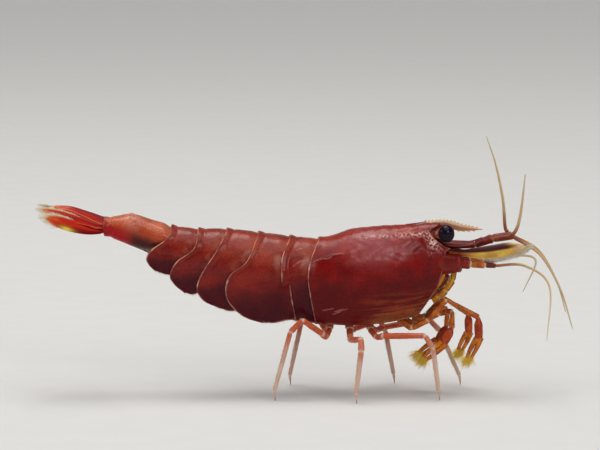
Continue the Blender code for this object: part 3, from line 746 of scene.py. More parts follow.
def sixth_segment():
    """A closed sleeve from the fifth plate to the tail: at each place along it an oval of its own height."""
    front = margin_behind(on_back(PLATE_REARS[-1]), SEGMENT_6_FOLLOWS)
    front[-1] = SEGMENT_6_FLOOR
    back, low, _ = body_at(TAIL_JOINT)
    rear = np.array(((TAIL_JOINT, back), (TAIL_JOINT - 0.1, (back + low) / 2), (TAIL_JOINT, low)))
    steps = np.linspace(-0.06, 1.0, 90)[:, None]
    share = down_side(np.linspace(0, 1, 33))
    x, z = laid_between(front, rear, share, steps)
    fall = (z[:, :1] - z) / (z[:, :1] - z[:, -1:])
    y = 2 * body_at(x)[2] * np.sqrt(np.clip(fall * (1 - fall), 0, 1))
    grid = np.concatenate((np.stack((x, -y, z), -1)[:, :0:-1], np.stack((x, y, z), -1)[:, :-1]), axis=1)
    down = np.concatenate((share[:0:-1], share[:-1]))
    to_rear = np.clip(grid[..., 0] - COLLAR_AT, 0, None)
    collar = 0.07 * bell(to_rear, 0, 0.22) - 0.04 * bell(to_rear, 0.42, 0.14)
    keel = (0.05 * bell(down, 0.12, 0.06) * np.clip(1 - (x[:, :1] - x[:, :1].min()) / 3.0, 0, 1)
            + 0.06 * bell(grid[..., 0], HUMP_AT, 0.16) * bell(down, 0.0, 0.12))
    under = -0.17 * (1 - ease(-0.05, 0.10, steps)) * (1 - 0.6 * down)
    grid = raised(grid, collar + keel + under)
    forward = ease(-12.0, -10.9, grid[..., 0])
    rising = 0.24 * (1 - ease(-13.0, -12.3, grid[..., 0]))
    cast("abdomen_segment_6",
         # under: painted shade on the front of the underside, below the fifth plate's edge
         capped(grid, margin=to_rear, down=down, line=0.2, under=ease(0.36, 0.58, down) * forward,
                stripe=ease(0.3, 0.5, down + rising) * (1 - forward),
                hump=bell(grid[..., 0], HUMP_AT, 0.45) * bell(down, 0.08, 0.22)),
         tail_shell_finish, ("abdomen_6",))


tail_shell_finish = make_shell_finish("tail_shell", dye(176, 86, 60), dye(166, 56, 30), dye(134, 22, 10),
                                      # the dark under patch is painted shade
                                      (("under", (clouds, 1.6), 0.1, 0.4, 0.92, dye(52, 12, 8)),
                                       ("stripe", (clouds, 1.6), 0.1, 0.4, 0.95, dye(170, 4, 14)),
                                       ("hump", (clouds, 0.3, 4.0), 0.3, 0.56, 0.85, dye(226, 150, 128))))
sixth_segment()

# ------------------------------------------------------------------------------------------------ tail fan
# The telson in the middle and two blades on each side spread from the sixth segment. Each blade is two thin
# skins of shell with a stiff rib between them, and a dense fringe of feathered bristles round its free edge.

TELSON = ((-12.9, 0, 10.8), (-13.6, 0, 11.12), (-14.3, 0, 11.45), (-15.2, 0, 11.8), (-16.2, 0, 11.92))
TELSON_WIDTHS = (0.62, 0.78, 0.74, 0.6, 0.34)
TELSON_LENGTH = 3.4
TELSON_THICK = 0.42
INNER_BLADE = ((-12.9, 0.34, 10.75), (-13.4, 0.68, 10.82), (-14.1, 0.85, 11.1), (-15.0, 1.05, 11.4),
               (-16.0, 1.15, 11.7), (-16.8, 1.2, 11.93))
OUTER_BLADE = ((-12.9, 0.42, 10.6), (-13.35, 0.82, 10.52), (-14.1, 1.36, 10.72), (-15.0, 1.95, 11.02),
               (-15.8, 2.35, 11.3), (-16.5, 2.55, 11.55))
TAIL_BLADES = (           # name, path, widths, the way across, where the rib runs and where a seam crosses
    ("inner", INNER_BLADE, (0.34, 0.46, 0.78, 1.04, 0.92, 0.12), (0, 0.94, -0.34), 0.15, None),
    ("outer", OUTER_BLADE, (0.36, 0.46, 0.94, 1.2, 1.08, 0.14), (0, 0.86, -0.51), 0.72, 0.74))
BLADE_LENGTH = 4.0
BLADE_THICK = 0.15
EDGE_RIB = 0.6            # a rib further out than this stiffens the edge itself
RAYS = 26.0               # the angle that a fin's wave of rays turns through from its middle to an edge
ROUNDS_FROM = 0.86        # the share of its length where a fin starts to round off
TELSON_SPINES = 9
TAIL_FRINGE = (0.42, 0.8, 420, 0.62, 0.013)   # from where on each edge, how many, how long and how thick
BAKE_PATCH = 0.003        # how much of the OFBake map each bristle takes
HAIRS = np.random.default_rng(7)
SIDES = {-1: "right", 1: "left"}


def mirrored(path, side):
    """A path at +Y, or its mirror image at -Y where side is -1."""
    return np.asarray(path, float) * (1, side, 1)


def swell(sizes, t):
    """The size at each t from 0 to 1 on the smooth curve through the given sizes."""
    return glide(np.array(sizes)[:, None], t)[..., 0]


def rounded(part, power, least):
    """The share of its full size that an end keeps, which rounds off to the least as the part comes to 1."""
    return np.sqrt(np.clip(1 - part ** power, least, 1))


def blade_half(widths, t):
    """Half a fin's width at each t: half the smooth curve through its widths, rounded off at its end."""
    end = np.clip((t - ROUNDS_FROM) / (1 - ROUNDS_FROM), 0, 1)
    return np.clip(swell(widths, t), 0.03, None) / 2 * rounded(end, 2.6, 0.0025)


def fin(path, widths, across, thick, rib_at, length, seam=None, rows=70, corners=48):
    """A fin: a flat oval carried along its path, with a rib, rays that fan out along it and a thin edge.

    The rib is a bell across the blade. The rays are a fine wave across it that follows its length. A seam is a
    groove across it, with a golden spot beside it. The marks say how far the free edge is, where the rib
    runs, the share along the blade, and the place across it from -1 on its inner edge to 1 on its outer one.
    """
    t = np.linspace(0, 1, rows) ** 0.9
    half = blade_half(widths, t)
    along, place = np.broadcast_arrays(t[:, None], np.cos(round_turn(corners)))
    body = 0.30 + 0.70 * (1 - np.abs(place) ** 2.2)
    rib = 1.5 * bell(place, rib_at, 0.16) * (1 - 0.75 * along)
    rays = 0.16 * np.cos(place * RAYS) * ease(0.12, 0.35, along)
    height = thick / 2 * (body + rib + rays) * (1 - 0.45 * along) * np.minimum(1, half[:, None] / 0.12)
    to_edge = (1 - np.abs(place)) * np.clip(swell(widths, along), 0.05, None) / 2
    margin = np.minimum(to_edge, (1 - along) * length)
    if rib_at > EDGE_RIB:
        rib = ease(rib_at - 0.6, rib_at - 0.3, place) * (1 - ease(0.72, 0.9, along))
        margin = np.where(place > rib_at - 0.3, FAR, margin)
    else:
        rib = bell(place, rib_at, 0.2) * (1 - ease(0.55, 0.95, along))
    marks = {"along": along, "place": place, "margin": margin, "rib": rib}
    if seam:
        height = height * (1 - 0.5 * bell(along + 0.05 * place, seam, 0.012))
        marks["spot"] = bell(along, seam - 0.06, 0.09) * bell(place, 0.8, 0.35)
    return capped(carried(glide(path, t), half, height, corners, across), **marks)


def bristles(name, roots, ways, lengths, thick, patch, finish, curl=0.0):
    """Many thin tapering bristles in one piece, each a three-sided spike of three rings and a point.

    A bristle leaves its root along its way and curls down as the square of its length. patch is each root's
    place on its skin's own unwrap, from 0 to 1: the bristle's own small patch of the OFBake map.
    """
    count, ways = len(roots), unit(ways)
    side = unit(np.cross(ways, np.where(np.abs(ways[:, 2:]) > 0.8, (1.0, 0, 0), (0, 0, 1.0))))
    up = np.cross(ways, side)
    steps, turn = np.array((0.0, 0.4, 0.75)), round_turn(3)
    lengths = np.broadcast_to(lengths, count)[:, None]
    bend = np.array((0, 0, -curl))
    line = (roots[:, None] + ways[:, None] * (lengths * steps)[..., None]
            + bend * (lengths * steps ** 2)[..., None])
    spread = (side[:, None] * np.cos(turn)[:, None] + up[:, None] * np.sin(turn)[:, None]) * thick
    rings = line[:, :, None] + spread[:, None] * (1 - 0.75 * steps)[:, None, None]
    tips = roots + (ways + bend) * lengths
    points = np.concatenate((rings.reshape(count, 9, 3), tips[:, None]), axis=1).reshape(-1, 3)
    first = np.arange(count)[:, None, None] * 10
    ends = np.array(((6, 7, 9), (7, 8, 9), (8, 6, 9), (2, 1, 0)))
    faces = (grid_faces(3, 3, True) + first).reshape(-1, 4).tolist() + (ends + first).reshape(-1, 3).tolist()
    reach = np.append(np.repeat(steps, 3), 1.0)
    piece = cast(name, (points, faces, {"reach": np.tile(reach, count)}), finish)
    offset = np.stack((np.append(np.tile(turn / (2 * np.pi), 3), 0.5), reach), -1) * BAKE_PATCH
    place = (np.clip(patch, 0.02, 0.98)[:, None] + offset).reshape(-1, 2)
    corner = np.zeros(len(piece.data.loops), np.int32)
    piece.data.loops.foreach_get("vertex_index", corner)
    layer = piece.data.uv_layers.new(name="OFBake")
    layer.data.foreach_set("uv", place[corner].astype(np.float32).ravel())


def make_bristle_finish(name, root, tip):
    """Clear bristles: coloured at the root, pale and bright towards the tip."""
    finish = begin_finish(name, roughness=0.4, coat=0.2, glow=0.0)
    reach = mark("reach")
    plug(Bench.shader["Base Color"], mixed(between(drifting(reach, 0.4, 0.6), 0.0, 0.55), root, tip))
    plug(Bench.shader["Roughness"], between(reach, 0.0, 1.0, 0.35, 0.5))
    return finish


def make_fin_finish(name, root, blade, rib, rim, tip):
    """A fin: dense colour along the rib and rays, clearer between them, paler to the end, with a thin rim."""
    finish = begin_finish(name, coat=0.25, depth=0.3, glow=0.2)
    along = mark("along")
    cells, torn = pigment(10, 1.2, 0.35)
    line, _ = border(0.05, 3)
    colour = washed(root,
                    (between(along, 0.1, 0.45), blade),
                    (between(drifting(along, 0.5, 0.5), 0.72, 1.0), tip),
                    (between(maths("COSINE", mark("place") * RAYS), 0.0, 1.0, 0.0, 0.4), rib),
                    (torn * 0.5, root),
                    (between(cells, 1.0, 0.0, 0.0, 0.08), rim),
                    (mark("rib"), rib),
                    (mark("spot"), dye(224, 190, 70)),
                    (line * 0.7, rim))
    surfaced(colour, pits=6, waves=3, depth=0.03, strength=0.4)
    return finish


def fringe(name, path, widths, across, hairs, finish):
    """Feathered bristles round a fin's free edge: out along its inner edge, round its end and up its outer one.

    hairs gives the shares of the blade from which they stand on the inner and on the outer edge, how many there
    are, and how long and how thick they are. They point away from its middle line and back along it, and those
    near the end point straight out.
    """
    first, last, count, length, thick = hairs
    t = first + (1 - first) * np.sqrt(HAIRS.random(count))
    edge = np.where(HAIRS.random(count) < 0.5, -1.0, 1.0)
    edge = np.where((edge > 0) & (t < last), -1.0, edge)
    ahead = unit(glide(path, t + 0.01) - glide(path, t - 0.01))
    out = squared(np.asarray(across, float), ahead)
    at = HAIRS.uniform(0.86, 1.0, count) * edge * np.where(t > 0.97, HAIRS.random(count), 1)
    roots = glide(path, t) + out * (blade_half(widths, t) * at)[:, None]
    lean = np.clip((t - 0.55) / 0.45, 0, 1)
    ways = out * (edge * (1.15 - 0.95 * lean))[:, None] + ahead * (0.75 + 0.9 * lean)[:, None]
    ways += HAIRS.normal(0, 0.10, (count, 3))
    lengths = length * HAIRS.uniform(0.6, 1.1, count) * (0.45 + 0.55 * ease(first, first + 0.35, t))
    bristles(name, roots, ways, lengths, thick, np.stack((0.5 + 0.48 * at, t), -1), finish, curl=0.12)


def tail_fan():
    """The telson with its end spines, both pairs of blades, and their fringes."""
    cast("telson_blade", fin(TELSON, TELSON_WIDTHS, (0, 1, 0), TELSON_THICK, 0.0, TELSON_LENGTH),
         tail_fin_finish, ("telson",))
    spots = np.linspace(-1, 1, TELSON_SPINES)
    end_x, _, end_z = TELSON[-1]
    roots = np.stack(np.broadcast_arrays(end_x + 0.08 + 0.1 * spots ** 2, spots * 0.15, end_z), -1)
    ways = np.stack(np.broadcast_arrays(-1.0, spots * 0.5, 0.05), -1)
    patch = np.stack(np.broadcast_arrays(0.5 + 0.4 * spots, 0.97), -1)
    bristles("telson_spines", roots, ways, np.where(np.arange(TELSON_SPINES) % 2, 0.34, 0.5), 0.035, patch,
             pale_bristle_finish)
    for side, word in SIDES.items():
        for name, path, widths, across, rib_at, seam in TAIL_BLADES:
            path, across = mirrored(path, side), mirrored(across, side)
            blade = fin(path, widths, across, BLADE_THICK, rib_at, BLADE_LENGTH, seam)
            cast(f"tail_{name}_blade_{word}", blade, tail_fin_finish, (f"uropod_{name}_{word}",))
            fringe(f"tail_{name}_fringe_{word}", path, widths, across, TAIL_FRINGE,
                   pale_bristle_finish)


pale_bristle_finish = make_bristle_finish("pale_bristles", dye(206, 120, 60), dye(236, 226, 200))
golden_bristle_finish = make_bristle_finish("golden_bristles", dye(246, 172, 30), dye(255, 222, 96))
tail_fin_finish = make_fin_finish("tail_fin_red", dye(172, 3, 20), dye(186, 16, 5), dye(116, 2, 4),
                                  dye(226, 112, 54), dye(214, 108, 34))
tail_fan()

# ----------------------------------------------------------------------------------------------- rostrum
# The rostrum is the saw that grows forward from the crest of the carapace between the eyes: one thin blade of
# hard shell with a rib along each side, teeth that point forward on its upper edge and a few on its lower one.
# Its upper edge is clear and pale, and the red shows through below.

# x, height of the upper edge, height of the lower edge
SAW_LINES = np.array(((11.1, 10.57, 10.53), (9.8, 10.86, 10.45), (8.9, 11.1, 10.57), (8.1, 11.14, 10.64),
                      (7.5, 11.07, 10.66), (6.9, 10.98, 10.64), (6.2, 10.9, 10.6)))
SAW_THICKNESS = ((0, 0.25, 0.5, 1), (0.42, 0.18, 0.085, 0.02))   # shares of its length, and half widths there
TOOTH_HEIGHT = 0.10
UPPER_TEETH = (7.25, 10.75, 15)     # from, to and how many
LOWER_TEETH = (9.3, 10.6, 4)


def saw(x, teeth):
    """Height of forward-pointing teeth at x: each rises slowly, then drops sharply at its front."""
    start, end, count = teeth
    turn = (x - start) / (end - start) * count
    part = turn % 1.0
    inside = ease(-0.02, 0.02, turn) * (1 - ease(count - 0.02, count + 0.02, turn))
    return (inside * np.where(part < 0.8, (part / 0.8) ** 1.7, 1 - (part - 0.8) / 0.2) * TOOTH_HEIGHT)[:, None]


def rostrum():
    """The saw: thin oval sections stood on edge, thickest at the rib, drawn out into the teeth."""
    x = np.linspace(SAW_LINES[-1, 0], SAW_LINES[0, 0], 430)
    share = (x - x[0]) / (x[-1] - x[0])
    top, keel = lines_at(SAW_LINES, x)
    turn = round_turn(28)
    rise, aside = np.sin(turn), np.cos(turn)
    y = (np.interp(share, *SAW_THICKNESS)[:, None]
         * (np.sign(aside) * np.abs(aside) ** 1.6 + 0.35 * aside * bell(rise, -0.15, 0.3)))
    upper = saw(x, UPPER_TEETH) * np.clip(rise, 0, 1) ** 3
    lower = saw(x, LOWER_TEETH) * 0.7 * np.clip(-rise, 0, 1) ** 3
    z = ((top + keel) / 2)[:, None] + ((top - keel) / 2)[:, None] * rise + upper - lower
    grid = np.stack((x[:, None] + 0.55 * (upper + lower), y, z), -1)
    cast("rostrum_saw", capped(grid, rise=rise, along=share[:, None]), rostrum_finish, ("rostrum",))


def make_rostrum_finish():
    """Pale cream teeth and upper edge over a translucent red blade with a yellowish lower line."""
    finish = begin_finish("rostrum_shell", roughness=0.28, coat=0.5, depth=0.3, glow=0.35)
    along, rise = mark("along"), drifting(mark("rise"), 0.3, 0.5)
    cells, _ = pigment(12, 1.5, 0.3)
    colour = washed(dye(120, 14, 10),
                    (between(along, 0.3, 0.95), dye(206, 146, 112)),
                    (cells * 0.5, dye(96, 6, 6)),
                    (between(rise + along * 0.45, 0.5, 0.85) * between(along, 0.2, 0.32), dye(218, 190, 154)),
                    (between(rise, -0.55, -0.85) * between(along, 0.5, 0.6), dye(206, 168, 84)))
    surfaced(colour, pits=8, waves=5, depth=0.02, strength=0.4)
    return finish


rostrum_finish = make_rostrum_finish()
rostrum()

# ------------------------------------------------------------------------------------- front of the head
# Between the eyes and the mouth the head is closed by its own hard segments: a rounded face that the feelers
# stand on, and the upper lip below. It fills the open front of the carapace.

FACE = ((6.6, 0, 8.9), (7.5, 0, 8.85), (8.2, 0, 8.9), (8.75, 0, 8.95), (9.2, 0, 9.05))
FACE_WIDTHS = (1.15, 1.02, 0.86, 0.74, 0.42)
FACE_HEIGHTS = (1.75, 1.7, 1.4, 1.0, 0.5)
UPPER_LIP = ((7.4, 0, 6.9), (8.0, 0, 6.95), (8.55, 0, 7.2), (8.85, 0, 7.75))
LIP_SIZE = (0.42, 0.34)
BROW = ((6.9, 0, 10.2), (7.6, 0, 10.28), (8.2, 0, 10.3), (8.6, 0, 10.2))
BROW_SIZE = (0.5, 0.4)


def face():
    """The rounded face, with a groove under each eye and a low ridge over each feeler's root."""
    t, turn = np.linspace(0, 1, 90), round_turn(64)
    end = rounded(np.clip((t - 0.9) / 0.1, 0, 1), 2, 0.003)
    dent = 1 - 0.12 * bell(np.sin(turn), 0.6, 0.18) * ease(0.4, 0.8, t)[:, None]
    ridge = 1 + 0.08 * bell(np.sin(turn), -0.3, 0.12) * ease(0.3, 0.7, t)[:, None]
    width, height = ((swell(sizes, t) * end)[:, None] * dent * ridge for sizes in (FACE_WIDTHS, FACE_HEIGHTS))
    parts = [capped(carried(glide(FACE, t), width, height, len(turn)))]
    t = np.linspace(0, 1, 50)
    for path, sizes in ((UPPER_LIP, LIP_SIZE), (BROW, BROW_SIZE)):
        width, height = (size * rounded(2 * t - 1, 4, 0.01) for size in sizes)
        parts.append(capped(carried(glide(path, t), width, height, 32)))
    cast("face_shell", joined(*parts), face_finish)


face_finish = make_flesh_finish("face_shell", dye(120, 30, 20), dye(176, 92, 62), dye(110, 10, 8))
face()

# -------------------------------------------------------------------------------------------------- eyes
# Each eye is a ball of many tiny lenses under one clear skin, black because of the dark colour between them.
# It sits on a short stalk that turns in a notch of the carapace, with a collar of shell round it.

EYE_OVAL = (1.04, 0.97, 1.13)
EYE_LOOKS = (0.22, 1, 0.06)         # the way that the left eye faces
FACET = 0.055             # from one lens to the next, a little coarser than life
EYE_STALK = ((7.9, 0.22, 10.2), (8.18, 0.42, 10.26), (8.42, 0.72, 10.34), (8.6, 0.98, 10.39))
STALK_GIRTHS = (0.24, 0.27, 0.33, 0.44)


def eye(side, word):
    """A slightly oval ball of rings round the way that it looks, with a shallow groove ahead of its widest one."""
    low, high = (np.array(corner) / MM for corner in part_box(f"eye_{word}"))
    radius = (high[2] - low[2]) / 2
    fall, turn = np.linspace(0.002, np.pi - 0.002, 72), round_turn(96)[::-1]
    outwards = unit(mirrored(EYE_LOOKS, side))
    other = unit(np.cross(outwards, (0, 0, 1)))
    up = np.cross(other, outwards)
    girth = np.sin(fall) * radius * (1 - 0.03 * bell(fall, 2.15, 0.08))
    ball = (-outwards * (np.cos(fall) * radius)[:, None, None]
            + (other * np.cos(turn)[:, None] + up * np.sin(turn)[:, None]) * girth[:, None, None])
    reach = (np.pi - fall)[:, None] * radius / FACET
    cast(f"eye_ball_{word}",
         capped((low + high) / 2 + ball * EYE_OVAL, across=reach * np.cos(turn), upward=reach * np.sin(turn)),
         eye_finish, (f"eye_{word}",))


def eyestalk(side, word):
    """A short trumpet that swells to a collar round the back of the eye."""
    t = np.linspace(0, 1, 60)
    girth = swell(STALK_GIRTHS, t) + 0.03 * bell(t, 0.93, 0.05) - 0.02 * bell(t, 0.8, 0.05)
    girth = girth * np.where(t > 0.97, 1 - (t - 0.97) * 8, 1)
    grid = carried(glide(mirrored(EYE_STALK, side), t), girth, girth, 40, (0, 0, 1))
    cast(f"eye_stalk_{word}", capped(grid, along=t[:, None]), stalk_finish, (f"eyestalk_{word}",))


def make_eye_finish():
    """Black glass over a fine honeycomb of lenses: three waves, a third of a turn apart, added together."""
    finish = begin_finish("eye_lens", roughness=0.16, coat=0.24, depth=0.1, glow=0.0)
    across, upward = mark("across"), mark("upward")
    comb = 0.0
    for turn in round_turn(3):
        way = across * (2 * math.pi * math.cos(turn)) + upward * (2 * math.pi * math.sin(turn))
        comb = maths("ADD", comb, maths("COSINE", way))
    lens = between(comb, -1.5, 1.5)
    # The purple toward the top is a painted sheen of the light from above.
    plug(Bench.shader["Base Color"], washed(dye(12, 2, 4),
                                            (between(upward, -9.0, 12.0), dye(14, 6, 34)),
                                            (between(lens, 0.35, 0.0, 0.0, 0.4), dye(36, 14, 20))))
    Bench.shader["Coat Roughness"].default_value = 0.03
    Bench.shader["Specular IOR Level"].default_value = 0.06
    relief(lens, 0.008, 0.3)
    return finish


def make_stalk_finish():
    """Red stalk under pale glittering cells, thickest at the collar."""
    finish = begin_finish("eye_stalk", depth=0.2, glow=0.2)
    cells, torn = pigment(9, 3, 0.36)
    glitter = cells * between(mark("along"), 0.15, 0.8)
    colour = washed(dye(132, 34, 28), (torn, dye(198, 116, 104)), (glitter, dye(240, 206, 200)))
    surfaced(colour, pits=8, waves=6, depth=0.03, strength=0.5)
    return finish


eye_finish = make_eye_finish()
stalk_finish = make_stalk_finish()
for side, word in SIDES.items():
    eyestalk(side, word)
    eye(side, word)

# ---------------------------------------------------------------------------------------- feeler bases
# Two pairs of feelers. The upper pair stands on three short joints with a pointed scale beside the first. The
# lower pair stands on a stout base, with a broad leaf of shell above it that the shrimp steers with.

UPPER_JOINTS = ((8.35, 0.42, 9.58), (10.6, 0.5, 9.58), (11.72, 0.55, 9.98), (12.95, 0.58, 10.16))
UPPER_GIRTHS = ((0.26, 0.18), (0.17, 0.22), (0.2, 0.2))
SIDE_SCALE = ((8.75, 0.75, 9.6), (9.6, 0.86, 9.58), (10.5, 0.86, 9.72), (11.1, 0.82, 9.92))
LOWER_JOINTS = ((8.1, 0.3, 8.45), (9.75, 0.96, 8.5), (10.3, 1.05, 8.45), (11.2, 1.07, 8.4), (11.85, 1.1, 8.36))
LOWER_GIRTHS = ((0.62, 0.38), (0.26, 0.2), (0.165, 0.145), (0.13, 0.11))
LOWER_TALL = 1.3          # how tall the lower base's section is for its width
LEAF = ((8.9, 0.9, 9.24), (9.9, 1.15, 9.16), (10.9, 1.32, 9.16), (11.9, 1.4, 9.26), (12.9, 1.4, 9.44),
        (13.8, 1.3, 9.6))
LEAF_WIDTHS = (0.4, 0.6, 0.84, 0.98, 0.9, 0.3)
LEAF_ACROSS = (0, 0.62, 0.78)
LEAF_THICK = 0.13
LEAF_RIB = 0.8
LEAF_LENGTH = 4.9
LEAF_FRINGE = (0.3, 0.97, 640, 0.58, 0.012)
LEFT_LEAF_LOWER = 0.28    # the left leaf is held this much lower than the right one
RING_STEP = 0.035         # from one ring of a limb's surface to the next
JOINT_PINCH = 0.26        # how much of a limb's girth is drawn in at a joint


def measured(points):
    """How far along a line of points each of them lies."""
    return np.concatenate(((0,), np.cumsum(np.linalg.norm(np.diff(points, axis=0), axis=1))))


def walked(points, stations):
    """Places at the given distances along a line of points."""
    return np.stack([np.interp(stations, measured(points), points[:, axis]) for axis in range(3)], -1)


def eased_line(joints, stations, soften):
    """Places along a jointed line with its corners rounded: a bell-weighted average of the line around them.

    stations are distances along it in millimetres. Past its ends the line goes straight on.
    """
    long_line = np.vstack((2 * joints[0] - joints[1], joints, 2 * joints[-1] - joints[-2]))
    fine = np.arange(-3.2 * soften, stations[-1] + 3.2 * soften, soften / 4)
    samples = walked(long_line, fine + np.linalg.norm(joints[1] - joints[0]))
    weights = bell(stations[:, None], fine, soften)
    return weights @ samples / weights.sum(1, keepdims=True)


def faces_of(grid):
    """Marks for a limb's front face, and for the two faces that run down its front and its rear together."""
    out = outward(grid)
    return {"front": np.clip(out[..., 0], 0, 1), "edges": 1 - np.abs(out[..., 1])}


def jointed(joints, girths, flat, across=(0, 1, 0), corners=28, soften=0.12):
    """A limb of articles: each a tapering barrel that flares before its joint and draws in at it.

    girths give each article's radius at its start and end. flat is how tall the section is for its width. It
    gives the rings, and marks for how near a joint is, which article it is, and the share along the limb.
    """
    ends, girths = measured(joints), np.array(girths)
    lengths = np.diff(ends)
    stations = np.linspace(0, ends[-1], int(ends[-1] / RING_STEP) + 2)
    article = np.clip(np.searchsorted(ends, stations, side="right") - 1, 0, len(lengths) - 1)
    start, end = stations - ends[article], ends[article + 1] - stations
    part = start / lengths[article]
    radius = girths[article, 0] * (1 - part) + girths[article, 1] * part
    starts, stops = article > 0, article < len(lengths) - 1
    at_start = starts * bell(start, 0, 0.05)
    pinch = JOINT_PINCH * (at_start + stops * bell(end, 0, 0.04))
    radius = radius * (1 + 0.08 * np.sin(np.pi * part)) * (1 - pinch + 0.09 * stops * bell(end, 0.16, 0.12))
    near = np.maximum(at_start, stops * bell(end, 0, 0.07))
    grid = carried(eased_line(joints, stations, soften), radius, radius * flat, corners, across)
    return grid, {"joint": near[:, None], "article": article[:, None].astype(float),
                  "along": (stations / ends[-1])[:, None], **faces_of(grid)}


def make_limb_finish(name, base, deep, pale, stripe, cover, articles=(), striped=("front", 0.45, 1.0)):
    """Clear shell over coloured flesh: deeper in clouds, dotted with colour cells and pale at the joints.

    From each number in articles on, the limb has that number's own colour. A dark stripe runs down the faces
    that striped names, and comes in between its two numbers.
    """
    finish = begin_finish(name, glow=0.25)
    cells, torn = pigment(10, 1.6, cover)
    faces, dark_from, dark_to = striped
    colour = washed(base,
                    *((between(mark("article"), number - 0.6, number - 0.4), own) for number, own in articles),
                    (torn * 0.6, deep),
                    (cells * 0.6, stripe),
                    (between(mark(faces), dark_from, dark_to, 0.0, 0.85), stripe),
                    (mark("joint") * 0.75, pale))
    surfaced(colour, pits=7, waves=3.5, depth=0.03, strength=0.45)
    return finish


def upper_base(side, word):
    """Three joints of the upper feelers' base, and the pointed scale beside the first."""
    grid, marks = jointed(mirrored(UPPER_JOINTS, side), UPPER_GIRTHS, 0.92)
    t = np.linspace(0, 1, 60)
    width = 0.13 * np.clip(1 - t, 0.02, 1) ** 0.6
    scale = carried(glide(mirrored(SIDE_SCALE, side), t), width, 0.045, 16)
    cast(f"upper_feeler_base_{word}", joined(capped(grid, **marks), capped(scale, along=t[:, None])),
         upper_base_finish, (f"antennule_{word}",))


def lower_base(side, word):
    """The stout cone and the slim joints beyond it that carry the long lower feeler."""
    grid, marks = jointed(mirrored(LOWER_JOINTS, side), LOWER_GIRTHS, LOWER_TALL)
    marks["joint"] = marks["joint"] * ease(0.5, 0.58, marks["along"])
    cast(f"lower_feeler_base_{word}", capped(grid, **marks), lower_base_finish,
         (f"antenna_base_{word}",))


def feeler_leaf(side, word):
    """The broad leaf: a stiff rib along its outer edge, and a thin blade inside it, fringed with hairs."""
    path, across = mirrored(LEAF, side), mirrored(LEAF_ACROSS, side)
    path[1:, 2] -= LEFT_LEAF_LOWER if side > 0 else 0.0
    cast(f"feeler_leaf_{word}", fin(path, LEAF_WIDTHS, across, LEAF_THICK, LEAF_RIB, LEAF_LENGTH),
         leaf_finish, (f"antenna_scale_{word}",))
    fringe(f"feeler_leaf_fringe_{word}", path, LEAF_WIDTHS, across, LEAF_FRINGE,
           leaf_bristle_finish)


upper_base_finish = make_limb_finish("upper_feeler_base", dye(118, 30, 20), dye(74, 8, 8), dye(176, 100, 74),
                                     dye(80, 6, 7), 0.4, ((2, dye(150, 66, 36)),))
lower_base_finish = make_limb_finish("lower_feeler_base", dye(136, 34, 24), dye(88, 6, 6), dye(222, 196, 168),
                                     dye(84, 6, 6), 0.34, ((1, dye(140, 30, 14)), (2, dye(206, 116, 40)),
                                                           (3, dye(110, 40, 30))))
leaf_finish = make_fin_finish("feeler_leaf", dye(132, 16, 10), dye(252, 214, 84), dye(66, 3, 6),
                              dye(244, 214, 140), dye(250, 232, 196))
leaf_bristle_finish = make_bristle_finish("leaf_bristles", dye(222, 196, 120), dye(238, 230, 212))
for side, word in SIDES.items():
    upper_base(side, word)
    lower_base(side, word)
    feeler_leaf(side, word)

# ----------------------------------------------------------------------------------------------- feelers
# The lashes are strings of hundreds of tiny rings of shell, each a little wider at its far end, thinning out to
# a hair. The upper base carries two on each side and the lower base one, swept out to the side.

LONG_LASH = ((11.6, 1.08, 8.36), (11.95, 1.14, 8.37), (13.6, 2.6, 8.55), (14.9, 6.0, 7.7), (14.4, 11.0, 5.0))
UPPER_INNER_NODES = ("antennule_inner_1", "antennule_inner_2")
LONG_NODES = ("antenna_feeler_1", "antenna_feeler_2")
LASHES = (                # name, side, girth, the solids that it stands for and its path
    ("upper_outer_lash", -1, 0.13, ("antennule_outer",),
     ((12.75, 0.6, 10.28), (13.05, 0.72, 10.42), (13.3, 0.78, 11.0), (13.5, 0.85, 12.2), (13.7, 1.0, 14.2))),
    ("upper_outer_lash", 1, 0.12, ("antennule_outer",),
     ((12.7, 0.62, 10.32), (12.55, 0.78, 10.65), (12.4, 0.95, 12.4), (11.95, 1.3, 14.6), (11.35, 1.8, 16.4))),
    ("upper_inner_lash", -1, 0.12, UPPER_INNER_NODES,
     ((12.8, 0.55, 10.25), (13.15, 0.42, 10.02), (14.75, 0.5, 8.95), (16.0, 0.7, 6.8), (16.78, 1.1, 4.3))),
    ("upper_inner_lash", 1, 0.11, UPPER_INNER_NODES,
     ((12.8, 0.55, 10.25), (13.15, 0.42, 10.02), (14.7, 0.75, 9.1), (15.9, 1.4, 7.1), (16.6, 2.2, 4.9))),
    ("long_lash", -1, 0.1, LONG_NODES, LONG_LASH),
    ("long_lash", 1, 0.1, LONG_NODES, LONG_LASH))
RING_PITCH = 0.15


def lash(name, side, girth, stems, path):
    """A tapering whip whose radius swells once in each ring: a saw wave of its length over a falling line."""
    rough = glide(mirrored(path, side), np.linspace(0, 1, 200))
    length = measured(rough)[-1]
    stations = np.linspace(0, length, int(length / RING_PITCH) * 5 + 1)
    line = walked(rough, stations)
    share, part = stations / length, (stations / RING_PITCH) % 1.0
    radius = girth * (1 - 0.72 * share) * (0.90 + 0.22 * part ** 2)
    radius = radius * np.sqrt(np.clip((1 - share) * 60, 0.02, 1))
    grid = carried(line, radius, radius, 12, (0, 0, 1) if name == "long_lash" else (0, 1, 0))
    cast(f"{name}_{SIDES[side]}", capped(grid, along=share[:, None], part=part[:, None]), lash_finish,
         tuple(f"{stem}_{SIDES[side]}" for stem in stems))


